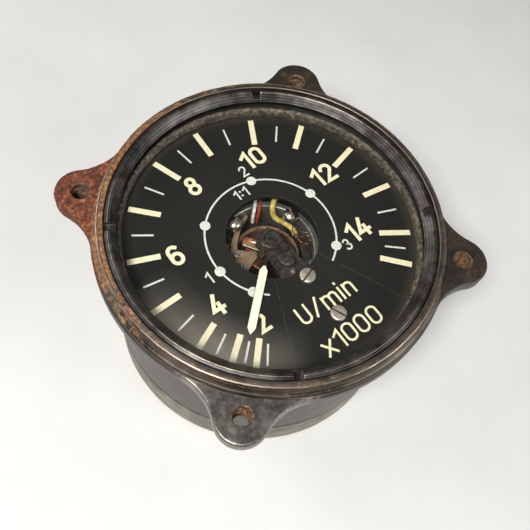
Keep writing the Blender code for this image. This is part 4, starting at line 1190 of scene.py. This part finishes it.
def build_bridge_fittings():
    low, high = BRIDGE_LOW.z, BRIDGE_TOP
    ringed = [(0, 44.3), (0.55, 44.3), (0.62, 44.22), (0.68, 44.3), (1.0, 44.3), (1.08, 44.2), (1.15, 44.26),
              (1.36, 44.2), (1.4, 44.1), (1.4, 42.05), (1.2, 42.0), (1.2, 41.5), (0, 41.5)]
    bm = drawn(lathe, ringed, 48)
    jewel = add_piece("jewel_screw", bm, [DARK, EDGE], node="upper_jewel_screw")

    def draw_slot(tools):
        block(tools, (-1.6, -0.19, 43.9), (1.6, 0.19, 45.0), 35)

    cut(jewel, draw_slot)
    soften(jewel, 0.03, 1, 50.0)

    hexagon = [on_circle(3.0, 10 + 60 * side) for side in range(6)]
    hole = arc(0, 0, 1.55, 0, 360, 40)[:-1]
    bm = drawn(slab, hexagon, 43.5, 44.1, [hole])
    nut = add_piece("jewel_nut", bm, [DARK, EDGE], node="jewel_lock_nut")
    soften(nut, 0.10, 2, finish=1)

    bm = drawn(slab, arc(0, 0, 2.35, 0, 360, 48)[:-1], 43.24, 43.46, [hole])
    washer = add_piece("jewel_washer", bm, [STEEL])
    soften(washer, 0.05, 1)

    def flutes(point, radius, angle):
        if radius < 2.05:
            return point
        inward = 0.045 if math.cos(angle * 26) > 0 else 0.0
        return Vector((point.x * (1 - inward), point.y * (1 - inward), point.z))

    x, y = 0.3, -6.5
    head = ((0, 1.25), (0.7, 1.25), (1.6, 1.2), (1.95, 1.1), (2.1, 0.98), (2.2, 0.85), (2.2, 0.35),
            (2.1, 0.24), (1.9, 0.2), (1.0, 0.2))
    knurled = [(radius, high + rise) for radius, rise in head] + [(1.0, low + 0.1), (0, low + 0.1)]
    bm = drawn(lathe, knurled, 156, shape=flutes, place=spin_z(0, x, y))
    stud = add_piece("stud_screw_knurled", bm, [DARK, EDGE], node="stud_screw")

    def draw_stud_slot(tools):
        block(tools, (-2.4, -0.24, high + 0.75), (2.4, 0.24, high + 2), 35, x, y)

    cut(stud, draw_stud_slot, 1, 1)

    bm = bmesh.new()
    for strip_x in (-3.15, -2.45):
        block(bm, (strip_x - 0.16, -10.4, 39.7), (strip_x + 0.16, -6.7, 41.0))
    strips = add_piece("contact_strips", bm, [BRASS])
    soften(strips, 0.05, 1)

    tab = [(-0.85, -9.5), (0.1, -9.3), (0.3, -9.75), (-0.25, -10.7), (-0.7, -10.3)]
    bm = drawn(slab, tab, high + 0.05, high + 0.45)
    pointed = add_piece("pointed_tab", bm, [CHROME])
    soften(pointed, 0.08, 2)


def build_movement_leads():
    """Sleeved wires between the dial's edge and the magnet, and the spare turns of the fine lead."""
    red = [(13.6, 17.2, 41.2), (9.4, 14.6, 41.2), (6.8, 12.5, 41.0), (5.3, 10.9, 40.8), (4.2, 9.7, 40.4),
           (3.5, 9.1, 39.6), (3.1, 8.75, 38.4), (3.0, 8.6, 36.9)]
    wire("lead_red", smooth_route(red), 0.42, RED, node="movement_lead_red")
    white = [(10.6, 18.0, 41.2), (7.9, 15.4, 41.2), (5.6, 13.2, 41.0), (4.3, 11.7, 40.8), (3.2, 10.5, 40.4),
             (2.5, 9.8, 39.6), (2.1, 9.4, 38.4), (2.0, 9.2, 36.9)]
    wire("lead_white", smooth_route(white), 0.46, PALE,
         node="movement_lead_white")
    yellow = [(13.5, 12.5, 41.6), (10.6, 10.8, 41.6), (8.6, 9.3, 41.5), (7.6, 8.5, 41.1), (6.95, 7.6, 40.1),
              (6.9, 6.7, 39.2), (7.2, 5.7, 38.7), (7.9, 4.6, 38.4), (8.5, 3.4, 38.3), (8.9, 2.3, 38.2),
              (9.1, 1.0, 38.0), (8.9, -0.3, 37.7)]
    wire("lead_yellow", smooth_route(yellow), 0.74, YELLOW,
         node="movement_lead_yellow")
    loops = []
    for step in range(91):
        grow = 1.25 + 0.006 * step
        x, y = on_circle(grow, 360 * step / 24 + 40, 10.0, -2.9)
        loops.append((x, y, 37.3 + 0.017 * step + 0.25 * math.sin(step * 0.9)))
    tail = [loops[-1], (8.5, -1.6, 38.9), (8.2, -0.4, 38.9), (8.6, 0.9, 39.0), (9.9, 1.9, 38.9),
            (10.9, 0.9, 38.0)]
    wire("lead_fine", loops + smooth_route(tail)[1:], 0.13, LEAD,
         node="lead_coil", sides=2)
    glow = [(9.4, 2.4, 37.2), (8.75, 0.6, 37.15), (8.9, -1.6, 37.1), (9.6, -4.0, 37.1), (8.9, -5.8, 37.1)]
    wire("lead_bare_copper", smooth_route(glow), 0.24, COPPER)


# ---------------------------------------------------------------- back

def build_cover():
    """Cast cover with a hollow back, turned grooves round its skirt and ribs on its floor."""
    top = 11.5
    floor = 9.7
    skirt = 37.9
    spigot = BORE_R - 0.4
    outer = COVER_HIGH.x
    wall = []
    for z in (9.6, 8.4, 3.0):
        wall += [(outer, z + 0.24), (outer - 0.16, z + 0.08), (outer - 0.16, z - 0.08), (outer, z - 0.24)]
    profile = [(11.2, top), (spigot - 1.1, top), (spigot - 1.1, top + 2.7), (spigot - 0.15, top + 2.7),
               (spigot, top + 2.55), (spigot, top), (outer - 0.25, top), (outer, top - 0.25), *wall,
               (outer, 0.5), (outer - 0.15, 0.15), (outer - 0.5, 0), (skirt + 0.3, 0), (skirt, 0.3),
               (skirt, floor - 0.8), (skirt - 0.25, floor - 0.25), (skirt - 0.8, floor), (30.4, floor),
               (30.0, floor - 0.3), (28.8, floor - 0.3), (28.4, floor), (18.0, floor), (17.6, floor - 0.4),
               (16.6, floor - 0.4), (16.2, floor), (11.2, floor)]
    bm = drawn(lathe, profile, 300)
    cover = add_piece("cover_cast", bm, [COVER, EDGE], node="rear_cover")

    def draw_holes(tools):
        for angle in (90, 210, 330):
            x, y = on_circle(34.0, angle)
            cylinder(tools, x, y, floor - 2, top + 1, 1.55, 40)

    cut(cover, draw_holes)
    bm = bmesh.new()
    for number in range(6):
        block(bm, (19.0, -0.6, floor - 0.9), (27.6, 0.6, floor - 0.02), 30 + 60 * number)
    ribs = add_piece("cover_ribs", bm, [COVER, EDGE])
    soften(ribs, 0.2, 2)


PIN_X = 5.4                 # how far each pin of the socket stands from the axis


def build_connector():
    """Threaded socket shell, moulded insert with a raised ring, and split pins."""
    top = SHELL_HIGH.z
    low = SHELL_LOW.z
    outer_wall = 10.8
    bore = 9.4
    flange_r = SHELL_HIGH.x
    flange_top, flange_low = 9.4, 8.1
    pitch = 1.0
    depth = 0.32

    def thread(point, radius, angle):
        """A rounded thread that fades out towards both ends of the wall."""
        if abs(radius - outer_wall) > 1e-4 or not low + 0.4 < point.z < flange_low - 0.3:
            return point
        fade = min(1.0, (point.z - low - 0.4) / 0.5, (flange_low - 0.3 - point.z) / 0.5)
        return moved_in(point, angle, depth * thread_wave(point.z, angle, pitch) * fade)

    profile = [(outer_wall, top), (outer_wall, flange_top), (flange_r - 0.2, flange_top),
               (flange_r, flange_top - 0.2), (flange_r, flange_low + 0.2), (flange_r - 0.2, flange_low),
               (outer_wall + 0.25, flange_low)]
    profile += stretch((outer_wall, flange_low - 0.1), (outer_wall, low + 0.35), 0.125)
    profile += [(outer_wall, low + 0.3), (outer_wall - 0.3, low), (bore + 0.3, low), (bore, low + 0.3),
                (bore, top)]
    bm = drawn(lathe, profile, 180, shape=thread)
    block(bm, (-1.0, bore - 0.8, low + 0.8), (1.0, bore + 0.2, 5.4))
    shell = add_piece("socket_shell", bm, [ALLOY], node="connector_shell")
    shell.data.set_sharp_from_angle(angle=math.radians(50))

    insert = [(0, 13.6), (8.2, 13.6), (9.0, 12.9), (9.1, 12.8), (9.1, 6.0), (8.95, 5.8), (7.9, 5.8),
              (7.7, 6.0), (7.4, 6.0), (7.2, 5.8), (2.6, 5.8), (2.4, 6.1), (0, 6.1)]
    bm = drawn(lathe, insert, 120)
    moulded = add_piece("socket_insert", bm, [BAKELITE], node="connector_insert")

    drill = [(0, 15), (1.3, 15), (1.3, 6.3), (1.9, 5.5), (0, 5.5)]

    def draw_bores(tools):
        for x in (-PIN_X, PIN_X):
            lathe(tools, drill, 40, place=spin_z(0, x))

    cut(moulded, draw_bores)
    tip = arc(0, 3.2, 1.1, 0, -75, 5, tall=0.9)
    blade = [(0, 15.6), (0.6, 15.6), (0.7, 15.5), (0.7, 14.2), (1.1, 13.9), *tip, (0, 2.3)]
    for side, x in (("left", -PIN_X), ("right", PIN_X)):
        bm = drawn(lathe, blade, 40, place=spin_z(0, x))
        node = f"connector_pin_{side}"
        pin = add_piece(f"socket_pin_{side}", bm, [BRASS], node=node)

        def draw_split(tools):
            block(tools, (-0.12, -1.5, 1.0), (0.12, 1.5, 6.5), 90, x)

        cut(pin, draw_split)


# ---------------------------------------------------------------- carried-over nodes

FIXINGS = ("cover_screw_1", "cover_screw_2", "cover_screw_3", "chassis_screw_1", "chassis_screw_2",
           "chassis_screw_3", "bridge_screw_left", "bridge_screw_right")
CARRIED = (
    (RUBBER, ("cover_gasket", "glass_gasket")),
    (ALLOY, ("connector_nut", "frame_ring", "coil_former", "rectifier_bracket")),
    (BAKELITE, ("resistor_spool", "terminal_strip")),
    (BRASS, ("chassis_plate", "lower_jewel_screw", "upper_hairspring", "lower_hairspring")),
    (AGED, ("zero_lever",)),
    (DARK, ("base_plate", "magnet", "core_foot", "upper_bridge", "pointer_arm", "transformer_core",
            "rectifier_stack")),
    (TAN, ("pole_ring",)),
    (COPPER, ("core_ring", "transformer_coil")),
    (STEEL, (*FIXINGS, "rotor_shaft")),
    (RED, ("feed_lead_red",)),
    (YELLOW, ("feed_lead_yellow",)),
)
ROUNDED = ("upper_bridge", "frame_ring", "magnet", "core_ring", "pole_ring", "base_plate", "zero_lever",
           "coil_former", "chassis_plate", "transformer_core", "transformer_coil", "rectifier_bracket",
           "terminal_strip", "connector_nut", "pointer_arm", "core_foot", *FIXINGS)


def dress_carried():
    """Give the CAD nodes that stay their finishes, and small rounded edges that catch the light."""
    for finish, names in CARRIED:
        for name in names:
            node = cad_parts[name]
            node.data.materials.clear()
            node.data.materials.append(finish.material)
            node.data.materials.append(EDGE.material)
    for name in ROUNDED:
        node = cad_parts[name]
        weld = node.modifiers.new("weld", "WELD")
        weld.merge_threshold = 0.002 * MM
        bevel = node.modifiers.new("rounding", "BEVEL")
        bevel.width = 0.10 * MM
        bevel.segments = 2
        bevel.limit_method = "ANGLE"
        bevel.angle_limit = math.radians(40)


# ---------------------------------------------------------------- view and light

VIEW_ELEVATION = 58.53
VIEW_TURN = -48.4           # the camera stands this far round from six o'clock
VIEW_ROLL = -13.16
VIEW_DISTANCE = 158.8       # from the middle of the flange's front face
VIEW_TILT = 3.47            # the camera looks a little above that point
VIEW_PAN = 0.08
LENS = 44.9
SENSOR = 36.0
FLOOR_HALF = 900.0
FLOOR_GAP = 0.15            # keeps the floor clear of the rear rim
LAMP_AIM_Z = 30.0           # the lamps point at this height on the axis


def build_camera():
    data = bpy.data.cameras.new("camera")
    data.sensor_width = SENSOR
    data.lens = LENS
    data.clip_start = 0.01
    data.clip_end = 20.0
    camera = new_object("camera", data)
    rise = Matrix.Rotation(math.radians(90 - VIEW_ELEVATION), 4, "X")
    out = spin_z(VIEW_TURN) @ rise @ Matrix.Translation((0, 0, VIEW_DISTANCE * MM))
    pan = Matrix.Rotation(math.radians(-VIEW_PAN), 4, "Y")
    tilt = Matrix.Rotation(math.radians(-VIEW_TILT), 4, "X")
    camera.matrix_world = Matrix.Translation((0, 0, SEAT_Z * MM)) @ out @ pan @ tilt @ spin_z(-VIEW_ROLL)
    bpy.context.scene.camera = camera


def add_lamp(name, place, size, power, colour=(1, 1, 1)):
    data = bpy.data.lights.new(name, "AREA")
    data.shape = "DISK"
    data.size = size * MM
    data.energy = power
    data.color = colour
    lamp = new_object(name, data)
    lamp.location = Vector(place) * MM
    aim = Vector((0, 0, LAMP_AIM_Z)) * MM - lamp.location
    lamp.rotation_euler = aim.to_track_quat("-Z", "Y").to_euler()


def build_studio():
    bm = bmesh.new()
    place = Matrix.Translation((0, 0, -FLOOR_GAP))
    bmesh.ops.create_grid(bm, x_segments=12, y_segments=12, size=FLOOR_HALF, matrix=place)
    bmesh.ops.scale(bm, vec=(MM, MM, MM), verts=bm.verts)
    floor = new_object("floor", mesh_of("floor", bm, [FLOOR.material]))
    add_lamp("key_lamp", (-250.0, -100.0, 470.0), 150.0, 3.3, (1.0, 0.98, 0.94))
    add_lamp("fill_lamp", (260.0, -520.0, 300.0), 380.0, 1.5)
    add_lamp("back_lamp", (-300.0, 520.0, 300.0), 380.0, 1.3)
    world = bpy.data.worlds.new("studio")
    world.use_nodes = True
    sky = world.node_tree.nodes["Background"]
    sky.inputs["Color"].default_value = (0.92, 0.95, 1.0, 1.0)
    sky.inputs["Strength"].default_value = 0.20
    bpy.context.scene.world = world
    bpy.context.scene.view_settings.view_transform = "Standard"


for build in (build_case, build_flange, build_ring, build_window, build_dial, build_printing,
              build_dial_screws, build_pointer, build_pillars, build_coil, build_core_support, build_keeper,
              build_bridge_fittings, build_movement_leads, build_cover, build_connector, dress_carried,
              build_camera, build_studio):
    build()
